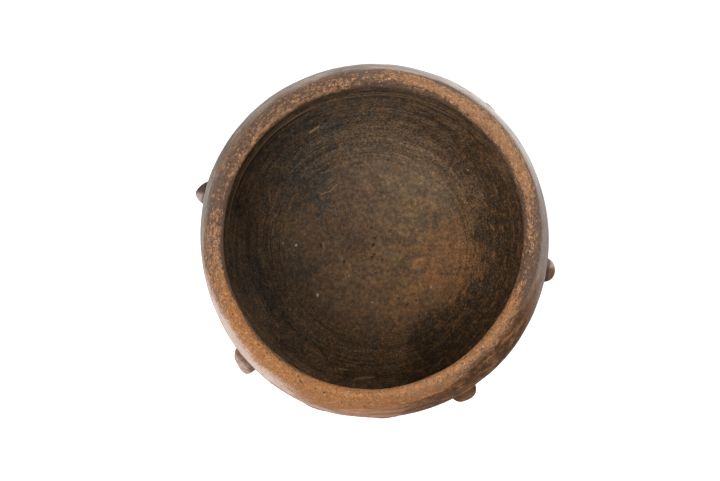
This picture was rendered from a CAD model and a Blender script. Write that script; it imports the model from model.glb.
"""Dresses the packed clay face pot: its hand-built form, its fired finishes, the studio light and the camera.

Sizes in this file are in millimetres, in the row frame: the origin is the centre of the foot, +Z is up
and the face looks along -Y. They turn into metres where a mesh, a lamp or the camera is made. A direction
round the pot is in degrees from +X, turning towards +Y. The lay of a point is its way along the clay's skin,
from the middle of the foot up the outside, over the lip and down to the middle of the floor.
"""

import logging
import math
from collections.abc import Callable, Iterable, Sequence
from dataclasses import dataclass
from enum import Enum
from functools import reduce

import bpy
import numpy as np
from mathutils import Matrix, Vector


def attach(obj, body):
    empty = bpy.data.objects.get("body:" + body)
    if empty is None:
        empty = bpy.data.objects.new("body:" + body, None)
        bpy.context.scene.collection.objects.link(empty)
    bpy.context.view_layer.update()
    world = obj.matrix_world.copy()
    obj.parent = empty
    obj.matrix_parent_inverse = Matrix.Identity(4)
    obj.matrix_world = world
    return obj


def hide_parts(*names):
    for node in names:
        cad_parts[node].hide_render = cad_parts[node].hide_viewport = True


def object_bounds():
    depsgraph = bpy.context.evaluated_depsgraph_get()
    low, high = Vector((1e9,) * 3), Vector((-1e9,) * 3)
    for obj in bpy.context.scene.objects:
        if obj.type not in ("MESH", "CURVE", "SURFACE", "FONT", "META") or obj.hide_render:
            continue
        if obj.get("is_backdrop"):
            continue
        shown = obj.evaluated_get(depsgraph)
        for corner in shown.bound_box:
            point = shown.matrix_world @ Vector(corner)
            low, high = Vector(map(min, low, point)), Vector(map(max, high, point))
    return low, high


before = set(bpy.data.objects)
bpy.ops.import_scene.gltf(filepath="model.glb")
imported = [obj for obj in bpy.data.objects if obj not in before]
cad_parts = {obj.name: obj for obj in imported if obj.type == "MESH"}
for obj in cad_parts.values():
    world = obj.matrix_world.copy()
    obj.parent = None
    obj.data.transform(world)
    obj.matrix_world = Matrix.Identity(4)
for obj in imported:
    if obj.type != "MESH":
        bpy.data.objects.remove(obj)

CAD_BOX = [list(corner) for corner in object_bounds()]
MM = 0.001
BODY = "root"
FACE_DIRECTION = 270.0
CAMERA_TURN = 7.75  # degrees that the photographed pot is turned against the row frame
CREST_REACH = 135.0  # from the pot's middle to the lip's crest, about
LEAST_REACH = 12.0  # nearer the pot's middle than this, strokes no longer narrow

log = logging.getLogger("face_pot")

Colour = tuple[float, float, float]
Point = tuple[float, float, float]
Pair = tuple[float, float]
Size = tuple[float, float, float]  # length, width and relief
Bump = tuple[float, float, float]  # rise, place and width
SceneObject = bpy.types.Object
Material = bpy.types.Material
Socket = bpy.types.NodeSocket
Array = np.ndarray
Rows3 = tuple[Point, Point, Point]


def smooth_step(value: Array, low: float, high: float) -> Array:
    """A soft step from 0 at low to 1 at high."""
    share = np.clip((value - low) / (high - low), 0, 1)
    return share * share * (3 - 2 * share)


def bell(value: Array, width: float) -> Array:
    """A bell curve of height 1 round zero, whose half width is about the width."""
    return np.exp(-((value / width) ** 2))


def turn_between(direction: Array, middle: float) -> Array:
    """The degrees from a middle direction to each direction, from -180 to 180."""
    return (direction - middle + 180) % 360 - 180


def rows_at(reach: Array, direction: Array, height: Array) -> Array:
    """Rows of x, y and z at distances from the middle of the pot, in directions and at heights."""
    angle = np.radians(direction)
    return np.column_stack([reach * np.cos(angle), reach * np.sin(angle), height])


def new_object(name: str, data: bpy.types.ID) -> SceneObject:
    """Puts something in the scene.

    Args:
        name: Its name.
        data: Its mesh, lamp or camera.

    Returns:
        Its object.
    """
    made = bpy.data.objects.new(name, data)
    bpy.context.scene.collection.objects.link(made)
    return made


def rows_of(kind: type, *rows: tuple) -> tuple:
    """Things of one kind, each made from a row of its values."""
    return tuple(kind(*row) for row in rows)


@dataclass(frozen=True)
class ClayNoise:
    """Smooth seeded noise in space, for the unevenness that hands and tools leave in clay."""

    seed: int
    table: int = 256
    gain: float = 1.7  # brings its values to about -1 to 1

    def plain(self, points: Array, size: float) -> Array:
        """Noise whose lumps are all of about one size.

        Args:
            points: Places, as n rows of three numbers.
            size: Distance over which the noise changes.

        Returns:
            One value a place, mostly from -1 to 1.
        """
        random = np.random.default_rng(self.seed)
        order = random.permutation(self.table)
        arrows = random.normal(size=(self.table, 3))
        arrows /= np.linalg.norm(arrows, axis=1, keepdims=True)
        scaled = points / size + random.uniform(0, self.table, 3)
        cell = np.floor(scaled).astype(np.int64)
        part = scaled - cell
        fade = part**3 * (part * (part * 6 - 15) + 10)
        total = np.zeros(len(points))
        for corner in np.ndindex(2, 2, 2):
            key = (cell + corner) % self.table
            index = order[(order[(order[key[:, 0]] + key[:, 1]) % self.table] + key[:, 2]) % self.table]
            weight = np.prod(np.where(corner, fade, 1 - fade), axis=1)
            total += weight * np.einsum("ij,ij->i", arrows[index], part - corner)
        return total * self.gain

    def layered(self, points: Array, size: float, layers: int) -> Array:
        """Noise with finer and weaker noise on top of it."""
        one = [self.plain(points, size / 2**layer) / 2**layer for layer in range(layers)]
        return sum(one) / (2 - 0.5 ** (layers - 1))


@dataclass(frozen=True)
class Wave:
    """A wave of the bowl's uneven roundness: its count round the pot, its share and its crest's direction."""

    count: int
    swell: float
    crest: float

    def at(self, direction: Array) -> Array:
        """The wave's share in each direction."""
        return self.swell * np.cos(np.radians(self.count * (direction - self.crest)))


def swell(waves: Iterable[Wave], direction: Array) -> Array:
    """Sum of waves in each direction."""
    return sum(wave.at(direction) for wave in waves)


@dataclass
class Spots:
    """Places on the clay's skin, before the marks of hands and tools move them."""

    points: Array
    out: Array  # unit normals, out of the clay
    direction: Array
    lay: Array
    inside: Array  # True where the skin faces the hollow

    def along_coils(self, length: float, width: float) -> Array:
        """Rows in which noise of size 1 makes strokes of a length and a width that run round the pot."""
        reach = np.maximum(np.hypot(self.points[:, 0], self.points[:, 1]), LEAST_REACH) / length
        return rows_at(reach, self.direction, self.lay / width)


@dataclass(frozen=True)
class PotForm:
    """The bowl's smooth curves, as the solids have them."""

    total_height: float = 172.0
    belly_radius: float = 150.0
    belly_height: float = 127.0
    crest_radius: float = 131.5
    mouth_radius: float = 125.3
    lip_depth: float = 9.0
    foot_radius: float = 46.0
    wall: float = 9.5
    floor: float = 11.0
    bowl_round: float = 2.3
    bowl_full: float = 0.5
    hollow_full: float = 0.3
    shoulder_round: float = 1.7
    shoulder_full: float = 0.74
    lip_lean: float = 1.6
    dish_height: float = 20.0
    lip_height: float = 22.0
    coil_count: int = 7
    belly_waves: tuple[Wave, ...] = (Wave(2, 0.008, 107), Wave(3, 0.004, 34), Wave(4, 0.0037, 65))
    mouth_waves: tuple[Wave, ...] = (Wave(1, 0.0107, 188), Wave(2, 0.0107, 59), Wave(3, 0.0047, 32))
    crest_waves: tuple[Wave, ...] = (Wave(2, 0.036, 20), Wave(3, 0.018, 80))

    @property
    def coil_height(self) -> float:
        """Height of each coil."""
        return (self.total_height - self.lip_height - self.dish_height) / self.coil_count

    @property
    def joints(self) -> list[float]:
        """Heights of the joints between the clay pieces, from the dish up to the lip."""
        return [self.dish_height + i * self.coil_height for i in range(self.coil_count + 1)]

    def outer_radius(self, height: Array) -> Array:
        """Outside radius of the bowl at each height.

        Args:
            height: The heights.

        Returns:
            The radii.
        """
        drop = np.clip((self.belly_height - height) / self.belly_height, 0, 1)
        full = (1 - drop**self.bowl_round) ** self.bowl_full
        low = self.foot_radius + (self.belly_radius - self.foot_radius) * full
        rise = np.clip((height - self.belly_height) / (self.total_height - self.belly_height), 0, 1)
        full = (1 - rise**self.shoulder_round) ** self.shoulder_full
        high = self.crest_radius + (self.belly_radius - self.crest_radius) * full
        return np.where(height < self.belly_height, low, high)

    def inner_radius(self, height: Array) -> Array:
        """Inside radius of the bowl at each height.

        Args:
            height: The heights.

        Returns:
            The radii.
        """
        hollow = self.belly_radius - self.wall
        mouth_height = self.total_height - self.lip_depth
        drop = np.clip((self.belly_height - height) / (self.belly_height - self.floor), 0, 1)
        low = hollow * (1 - drop**self.bowl_round) ** self.hollow_full
        rise = np.clip((height - self.belly_height) / (mouth_height - self.belly_height), 0, 1)
        lean = np.cos(math.pi / 2 * rise**self.lip_lean) ** 2
        middle = self.mouth_radius + (hollow - self.mouth_radius) * lean
        share = np.clip((height - mouth_height) / self.lip_depth, 0, 1)
        high = self.crest_radius + (self.mouth_radius - self.crest_radius) * np.sqrt(1 - share**2)
        return np.where(height < self.belly_height, low, np.where(height < mouth_height, middle, high))

    def out_of_round(self, direction: Array, height: Array) -> Array:
        """Share by which the bowl is wider than a round one, in each direction and at each height."""
        belly, mouth = swell(self.belly_waves, direction), swell(self.mouth_waves, direction)
        return belly + (mouth - belly) * smooth_step(height, self.belly_height, self.total_height)

    def crest_stray(self, direction: Array, height: Array) -> Array:
        """How far the lip's height strays. It is nothing at the joint under the lip."""
        share = np.maximum(height - self.total_height + self.lip_height, 0) / self.lip_height
        return share * share * self.lip_height * swell(self.crest_waves, direction)

    def placed(self, radius: Array, height: Array, direction: Array) -> Array:
        """Points of a round bowl, moved to where this uneven one has them, as rows."""
        reach = radius * (1 + self.out_of_round(direction, height))
        return rows_at(reach, direction, height + self.crest_stray(direction, height))

    def outer_lay(self, height: float) -> float:
        """The lay of the outside at a height."""
        way = np.linspace(0, 1, 4000) ** 2 * height
        return self.foot_radius + float(np.hypot(np.diff(self.outer_radius(way)), np.diff(way)).sum())

    def wall_normal(self, height: Array) -> tuple[Array, Array]:
        """Outward direction of the outside at each height, as its radial and upward parts."""
        lean = self.outer_radius(height + 0.5) - self.outer_radius(height - 0.5)
        return 1 / np.hypot(1, lean), -lean / np.hypot(1, lean)


@dataclass
class Rows:
    """The rings of points that the bowl's skin is made of, in the order of their lay."""

    radius: Array
    height: Array
    lay: Array
    inside: Array
    count: Array  # points in each ring; a ring of one is a pole
    joints_outside: list[int]
    joints_inside: list[int]


@dataclass
class RowPlan:
    """Plans the rings: close together where the camera sees fine detail, and wider apart elsewhere."""

    form: PotForm
    around: int = 768  # points round the widest rings of the wall
    lip_around: int = 1536
    fewest: int = 24
    widest_gap: float = 1.25  # between the points of a ring
    foot_step: float = 2.4  # from ring to ring
    low_step: float = 1.7
    shoulder_step: float = 1.1
    lip_step: float = 0.7
    hollow_step: float = 1.3
    shoulder_height: float = 100.0

    def stretch(self, curve: Callable[[Array], Array], start: float, end: float, step: float) -> Array:
        """Points along part of the profile at even distances.

        Args:
            curve: Gives the radius at each height.
            start: Height of the first point.
            end: Height of the last point.
            step: Wanted distance from point to point.

        Returns:
            Rows of radius and height, without the first point.
        """
        share = np.linspace(0, 1, 3001)
        steep = {0.0: 2, self.form.total_height: 2, self.form.floor: 4}
        if start in steep:
            share = share ** steep[start]
        elif end in steep:
            share = 1 - (1 - share) ** steep[end]
        height = start + (end - start) * share
        radius = curve(height)
        way = np.concatenate([[0], np.cumsum(np.hypot(np.diff(radius), np.diff(height)))])
        stops = np.linspace(0, way[-1], max(2, round(way[-1] / step)) + 1)[1:]
        return np.column_stack([np.interp(stops, way, radius), np.interp(stops, way, height)])

    def ring_counts(self, radius: Array, lip: Array) -> Array:
        """How many points each ring has: each count is its neighbour's, its half or its double.

        Args:
            radius: Radius of each ring.
            lip: True for the rings of the lip.

        Returns:
            The counts.
        """
        counts = np.full(len(radius), self.around)
        for i, reach in enumerate(radius):
            while counts[i] > self.fewest and 4 * math.pi * reach / counts[i] < self.widest_gap:
                counts[i] //= 2
        counts[lip] = self.lip_around
        for i in range(1, len(counts)):
            counts[i] = min(counts[i], counts[i - 1] * 2)
        for i in range(len(counts) - 2, -1, -1):
            counts[i] = min(counts[i], counts[i + 1] * 2)
        counts[radius < 1e-6] = 1
        return counts

    def make(self) -> Rows:
        """Plans all rings, from the middle of the foot to the middle of the floor.

        Returns:
            The rings.
        """
        form = self.form
        feet = np.linspace(0, form.foot_radius, round(form.foot_radius / self.foot_step) + 1)
        parts = [np.column_stack([feet, np.zeros_like(feet)])]
        ends = [len(feet)]
        levels = [0.0, *form.joints, form.total_height]
        for low, high in zip(levels, levels[1:]):
            step = self.shoulder_step if high > self.shoulder_height else self.low_step
            step = self.lip_step if high == levels[-1] else step
            parts.append(self.stretch(form.outer_radius, low, high, step))
            ends.append(ends[-1] + len(parts[-1]))
        crest = ends[-1]
        levels = [form.total_height, *reversed(form.joints), form.floor]
        for high, low in zip(levels, levels[1:]):
            step = self.lip_step if high == form.total_height else self.hollow_step
            parts.append(self.stretch(form.inner_radius, high, low, step))
            ends.append(ends[-1] + len(parts[-1]))
        line = np.concatenate(parts)
        line[-1, 0] = 0
        lay = np.concatenate([[0], np.cumsum(np.hypot(*np.diff(line, axis=0).T))])
        index = np.arange(len(line))
        joints = [end - 1 for end in ends]
        outside = joints[1 : form.coil_count + 2]
        inside = joints[form.coil_count + 3 : -1][::-1]
        lip = (index > outside[-1] + 1) & (index < inside[-1] - 1)
        counts = self.ring_counts(line[:, 0], lip)
        return Rows(line[:, 0], line[:, 1], lay, index >= crest, counts, outside, inside)


class FaceList:
    """Faces of a mesh while it is made, each a run of point numbers, with a kind of skin for each."""

    def __init__(self) -> None:
        """Starts with no faces."""
        self.parts: list[tuple[Array, Array]] = []  # rows of point numbers, anticlockwise, and their skins

    def band(self, first: Array, second: Array, skin: int) -> None:
        """Joins two rings, the second further along the lay.

        Args:
            first: Point numbers of one ring, anticlockwise from above.
            second: Those of the next; it has as many points, half or double as many, or one.
            skin: The number of the faces' material slot.
        """
        few, many = sorted((first, second), key=len)
        ahead, even, odd = np.roll(few, -1), many[0::2], many[1::2]
        if len(few) == len(many):
            sets = [(first, np.roll(first, -1), np.roll(second, -1), second)]
        elif len(few) == 1:
            sets = [(np.full(len(many), few[0]), np.roll(many, -1), many)]
        else:
            sets = [(few, odd, even), (few, ahead, odd), (ahead, np.roll(even, -1), odd)]
        for corners in sets:
            faces = np.column_stack(corners)
            faces = faces[:, ::-1] if len(first) > len(second) else faces
            self.parts.append((faces, np.full(len(faces), skin)))

    def gathered(self) -> tuple[list[Array], Array]:
        """Gathers the faces.

        Returns:
            Them as arrays of one width each, and all their skins in the same order.
        """
        kinds = [[part for part in self.parts if part[0].shape[1] == width] for width in (4, 3)]
        groups, skins = zip(*(map(np.concatenate, zip(*kind)) for kind in kinds if kind))
        return list(groups), np.concatenate(skins)


def corner_normals(points: Array, groups: Iterable[Array]) -> Array:
    """Smooth normals at the points of a mesh, weighted by the area of the faces.

    Args:
        points: The mesh's points.
        groups: Its faces, as arrays of one width each.

    Returns:
        One unit normal a point.
    """
    total = np.zeros_like(points)
    for faces in groups:
        one, two = points[faces[:, 1]] - points[faces[:, 0]], points[faces[:, 2]] - points[faces[:, 0]]
        normal = np.cross(one, two)
        if faces.shape[1] == 4:
            normal += np.cross(two, points[faces[:, 3]] - points[faces[:, 0]])
        for column in faces.T:
            for axis in range(3):
                total[:, axis] += np.bincount(column, normal[:, axis], len(points))
    return total / np.maximum(np.linalg.norm(total, axis=1, keepdims=True), 1e-12)


@dataclass
class ClayMesh:
    """One closed piece of clay, ready to become a Blender object."""

    name: str
    points: Array
    faces: FaceList
    skins: Sequence[Material]
    slot: str
    replaces: str
    values: dict[str, Array]  # numbers at the points that the finishes read
    normals: Array | None = None  # at the points, where they aren't the faces' own
    hidden_skin: int | None = None  # slot of the faces that keep their flat normals

    def build(self) -> SceneObject:
        """Makes the object, sets its finishes and ties it to the frame.

        Returns:
            The object.
        """
        groups, skins = self.faces.gathered()
        mesh = bpy.data.meshes.new(self.name)
        corners = np.concatenate([faces.ravel() for faces in groups])
        widths = np.concatenate([np.full(len(faces), faces.shape[1]) for faces in groups])
        mesh.vertices.add(len(self.points))
        mesh.vertices.foreach_set("co", (self.points * MM).astype(np.float32).ravel())
        mesh.loops.add(len(corners))
        mesh.loops.foreach_set("vertex_index", corners.astype(np.int32))
        mesh.polygons.add(len(widths))
        mesh.polygons.foreach_set("loop_start", (np.cumsum(widths) - widths).astype(np.int32))
        mesh.polygons.foreach_set("material_index", skins.astype(np.int32))
        mesh.update(calc_edges=True)
        for name, values in self.values.items():
            mesh.attributes.new(name, "FLOAT", "POINT").data.foreach_set("value", values.astype(np.float32))
        for material in self.skins:
            mesh.materials.append(material)
        mesh.shade_smooth()
        if self.normals is not None:
            self.keep_normals(mesh, corners, skins, widths)
        piece = new_object(self.name, mesh)
        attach(piece, BODY)
        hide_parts(self.replaces)
        log.info("%s: %d faces, for %s", self.name, len(widths), self.replaces)
        return piece

    def keep_normals(self, mesh: bpy.types.Mesh, corners: Array, skins: Array, widths: Array) -> None:
        """Gives the skin the whole bowl's normals, so that the joints between its pieces don't show.

        Args:
            mesh: The mesh.
            corners: The point number of each face corner.
            skins: The material slot of each face.
            widths: How many corners each face has.
        """
        flat = np.empty(len(widths) * 3, np.float32)
        mesh.polygons.foreach_get("normal", flat)
        hidden = np.repeat(skins == self.hidden_skin, widths)
        flat = np.repeat(flat.reshape(-1, 3), widths, axis=0)
        mesh.normals_split_custom_set(np.where(hidden[:, None], flat, self.normals[corners]))


class SkinSlot(Enum):
    """The material slots of the bowl's pieces."""

    OUTSIDE = 0
    LIP = 1
    HOLLOW = 2
    JOINT = 3


@dataclass(frozen=True)
class Unevenness:
    """A layer of lumps in the clay or, where it has a length, of strokes that run round the pot."""

    strength: float
    size: float  # across the lumps or the strokes
    layers: int = 1
    length: float = 0.0

    def out(self, noise: ClayNoise, spots: Spots) -> Array:
        """How far out it brings the clay at each spot."""
        where = (spots.along_coils(self.length, self.size), 1) if self.length else (spots.points, self.size)
        return self.strength * noise.layered(*where, self.layers)


@dataclass(frozen=True)
class PitField:
    """Scattered pits or crumbs in a band of the skin."""

    count: int
    low: float  # lay at which the band starts
    high: float
    radius: Pair
    depth: Pair  # a minus stands proud
    seed: int
    longest: float = 1.7  # times as long as wide
    steep: float = 1.5

    def depth_at(self, spots: Spots, _stray: Array) -> Array:
        """How deep the pits are at each spot.

        Args:
            spots: The places.
            _stray: How far a groove's line strays, which does nothing here.

        Returns:
            Depths, which are 0 between the pits.
        """
        random = np.random.default_rng(self.seed)
        depth = np.zeros(len(spots.lay))
        order = np.argsort(spots.lay, kind="stable")
        lays = spots.lay[order]
        reach = np.hypot(spots.points[:, 0], spots.points[:, 1])
        for _ in range(self.count):
            lay, direction = random.uniform(self.low, self.high), random.uniform(0, 360)
            radius, deep = random.uniform(*self.radius), random.uniform(*self.depth)
            long = random.uniform(1, self.longest)
            near = order[np.searchsorted(lays, lay - 3 * radius) : np.searchsorted(lays, lay + 3 * radius)]
            side = np.radians(turn_between(spots.direction[near], direction)) * reach[near] / long
            away = (side**2 + (spots.lay[near] - lay) ** 2) / radius**2
            depth[near] += deep * np.exp(-(away**self.steep))
        return depth


@dataclass(frozen=True)
class Groove:
    """A groove that runs round part of the outside."""

    start: float  # direction
    end: float
    lay: float
    depth: float
    width: float
    fade: float = 9.0  # degrees over which its ends run out

    def depth_at(self, spots: Spots, stray: Array) -> Array:
        """How deep the groove is at each spot.

        Args:
            spots: The places.
            stray: How far its line strays there.

        Returns:
            Depths, which are 0 away from the groove.
        """
        middle, half = (self.start + self.end) / 2, (self.end - self.start) / 2
        turn = np.abs(turn_between(spots.direction, middle))
        along = smooth_step(turn, half + self.fade, half - self.fade)
        return self.depth * along * bell(spots.lay - self.lay - stray, self.width)


@dataclass(frozen=True)
class Dent:
    """A fingertip's dent, or with a minus a lump, at a direction and a lay."""

    direction: float
    lay: float
    depth: float
    radius: float

    def depth_at(self, spots: Spots, _stray: Array) -> Array:
        """How deep it is at each spot."""
        side = np.radians(turn_between(spots.direction, self.direction)) * CREST_REACH
        return self.depth * bell(np.hypot(side, spots.lay - self.lay), self.radius)


Pressed = PitField | Groove | Dent


@dataclass(frozen=True)
class HandMarks:
    """What hands, scraper and pebble left in the clay, as distances out of the smooth form.

    The lip is shaped between finger and thumb, and its grit is left standing.
    """

    form: PotForm
    noise: ClayNoise = ClayNoise(11)
    crest_lay: float = 280.2
    lip_edge: Pair = (23.0, 11.0)  # ways from the crest between which the lip's rough zone runs out
    foot_lays: Pair = (46.0, 66.0)  # over which the marks set in beside the flat foot
    coil_start: Pair = (-8.0, 4.0)  # heights past the dish over which the coils' swell sets in
    wall_start: Pair = (45.0, 85.0)  # distances over which the hollow's floor turns to wall
    coil_swell: Pair = (0.12, 0.07)  # outside, and in the hollow
    coil_change: float = 60.0  # distance over which the outside's swell comes and goes
    slants: float = 0.07  # how far the scraper's marks of the outside stand out
    slant_size: float = 19.0
    slant_way: Rows3 = ((1, 0, 0.35), (0, 1, 0.2), (-0.3, 0.4, 3.6))
    swirls: float = 0.12  # and those of the hollow's floor
    swirl_size: float = 30.0
    swirl_way: Rows3 = ((0.5, 0.86, 0), (-5.2, 3.0, 0), (0, 0, 1))
    pit_stray: Pair = (1.3, 23.0)  # how far their lines stray, and in waves of what size
    groove_stray: Pair = (1.2, 17.0)
    outside_marks: tuple[Unevenness, ...] = rows_of(
        Unevenness,
        (0.42, 44), (0.26, 19), (0.09, 3.4, 2, 26), (0.05, 3.2, 2),
    )
    lip_marks: tuple[Unevenness, ...] = rows_of(
        Unevenness,
        (0.38, 33), (0.34, 16, 1, 24), (0.13, 2.2, 2, 17), (0.16, 3.4, 2), (0.1, 1.5),
    )
    wall_marks: tuple[Unevenness, ...] = rows_of(Unevenness, (0.12, 3.6, 2, 64), (0.09, 12, 1, 80))
    hollow_marks: tuple[Unevenness, ...] = rows_of(Unevenness, (0.42, 40), (0.2, 14), (0.07, 3, 2))
    pits: tuple[PitField, ...] = rows_of(
        PitField,
        (150, 60, 262, (0.9, 2.2), (0.15, 0.5), 21), (60, 90, 262, (0.8, 1.5), (-0.3, -0.12), 22),
        (420, 262, 296, (0.5, 1.5), (0.12, 0.55), 23), (150, 264, 294, (0.6, 1.2), (-0.35, -0.15), 24),
        (260, 300, 545, (0.8, 1.9), (0.12, 0.5), 25), (90, 300, 545, (0.8, 1.4), (-0.3, -0.12), 26),
    )
    grooves: tuple[Groove, ...] = rows_of(
        Groove,
        (306, 352, 269.5, 1.0, 3.2, 12), (284, 312, 267.5, 0.7, 3.4, 12), (58, 84, 266.2, 0.5, 1.2),
        (26, 60, 265.6, 0.45, 1.1),
    )
    ridges: tuple[Groove, ...] = rows_of(
        Groove,
        (122, 180, 390.5, -0.9, 1.2), (124, 178, 394.4, 0.5, 1.6), (46, 118, 393.2, 0.34, 1.4),
        (128, 172, 386.8, -0.45, 0.8), (60, 118, 389.0, -0.5, 0.8), (72, 112, 385.0, -0.45, 0.8),
        (80, 104, 393.5, -0.35, 0.7), (342, 32, 396.0, -0.35, 1.0), (352, 24, 404.0, -0.3, 1.0),
    )
    dents: tuple[Dent, ...] = rows_of(
        Dent,
        (317, 281, 0.8, 5.5), (325.5, 272.5, -0.8, 4.5), (316, 271, -0.7, 4.0), (204, 276, 0.5, 7),
        (96, 284, 0.6, 6), (150, 279, 0.5, 8), (12, 277, 0.5, 6), (262, 277, 0.4, 7),
    )

    def coils(self, spots: Spots) -> Array:
        """The faint swell of each coil, from -1 at the joints to 1 between them."""
        past = spots.points[:, 2] - self.form.dish_height
        return -np.cos(2 * math.pi * past / self.form.coil_height) * smooth_step(past, *self.coil_start)

    def uneven(self, spots: Spots, layers: Iterable[Unevenness]) -> Array:
        """How far out some layers of unevenness bring the clay at each spot."""
        return sum(layer.out(self.noise, spots) for layer in layers)

    def scraped(self, spots: Spots, way: Rows3, size: float) -> Array:
        """Marks of a scraper that ran aslant of the coils, as the rows of its way stretch them."""
        return self.noise.layered(spots.points @ np.array(way).T, size, 2)

    def outside(self, spots: Spots) -> Array:
        """Marks of the outside: pressed, scraped and rubbed with a pebble.

        Args:
            spots: The places.

        Returns:
            How far out the clay stands there.
        """
        slants = self.slants * self.scraped(spots, self.slant_way, self.slant_size)
        change = 1 + self.noise.plain(spots.points, self.coil_change)
        coils = self.coil_swell[0] * self.coils(spots) * change
        return self.uneven(spots, self.outside_marks) + coils + slants

    def hollow(self, spots: Spots) -> Array:
        """Marks of the hollow: joined coils, wiped smooth with wet fingers and a scraper.

        Args:
            spots: The places.

        Returns:
            How far out the clay stands there.
        """
        walls = smooth_step(np.hypot(spots.points[:, 0], spots.points[:, 1]), *self.wall_start)
        wiped = self.uneven(spots, self.wall_marks) + self.coil_swell[1] * self.coils(spots)
        swirls = self.swirls * self.scraped(spots, self.swirl_way, self.swirl_size)
        return self.uneven(spots, self.hollow_marks) + walls * wiped + (1 - walls) * swirls

    def depth_of(self, spots: Spots, marks: Iterable[Pressed], stray: float, size: float) -> Array:
        """Depth of some marks at each spot, whose lines stray so far, in waves of a size."""
        strayed = stray * self.noise.plain(spots.points, size)
        return sum(mark.depth_at(spots, strayed) for mark in marks)

    def out(self, spots: Spots) -> tuple[Array, Array]:
        """All marks together.

        Args:
            spots: The places.

        Returns:
            How far out the clay stands at each, and how deep the pits are there.
        """
        past = np.abs(spots.lay - self.crest_lay)
        rim = smooth_step(past, *self.lip_edge)
        body = np.where(spots.inside, self.hollow(spots), self.outside(spots))
        beside_foot = smooth_step(spots.lay, *self.foot_lays)
        pits = self.depth_of(spots, self.pits + self.ridges, *self.pit_stray)
        dents = self.depth_of(spots, self.grooves + self.dents, *self.groove_stray)
        marks = rim * self.uneven(spots, self.lip_marks) + (1 - rim) * body - pits - dents
        return np.where(spots.inside, marks, marks * beside_foot), pits


@dataclass(frozen=True)
class Patch:
    """A soft-edged area of the outside that fire, smoke or handling left different."""

    middle: float  # direction
    half_turn: float
    low: float  # lay
    high: float
    strength: float
    soft_turn: float
    soft_lay: float

    def at(self, direction: Array, lay: Array) -> Array:
        """How strong the patch is at each place.

        Args:
            direction: The places' directions.
            lay: Their lays.

        Returns:
            Strengths, 0 outside the patch.
        """
        turn = np.abs(turn_between(direction, self.middle))
        across = smooth_step(turn, self.half_turn + self.soft_turn, self.half_turn - self.soft_turn)
        lower = smooth_step(lay, self.low - self.soft_lay, self.low + self.soft_lay)
        upper = smooth_step(lay, self.high + self.soft_lay, self.high - self.soft_lay)
        return self.strength * across * lower * upper


@dataclass(frozen=True)
class Cloud:
    """A cloud of smoke or warmth on the hollow's skin, round a point."""

    x: float
    y: float
    radius: float
    strength: float


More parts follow.
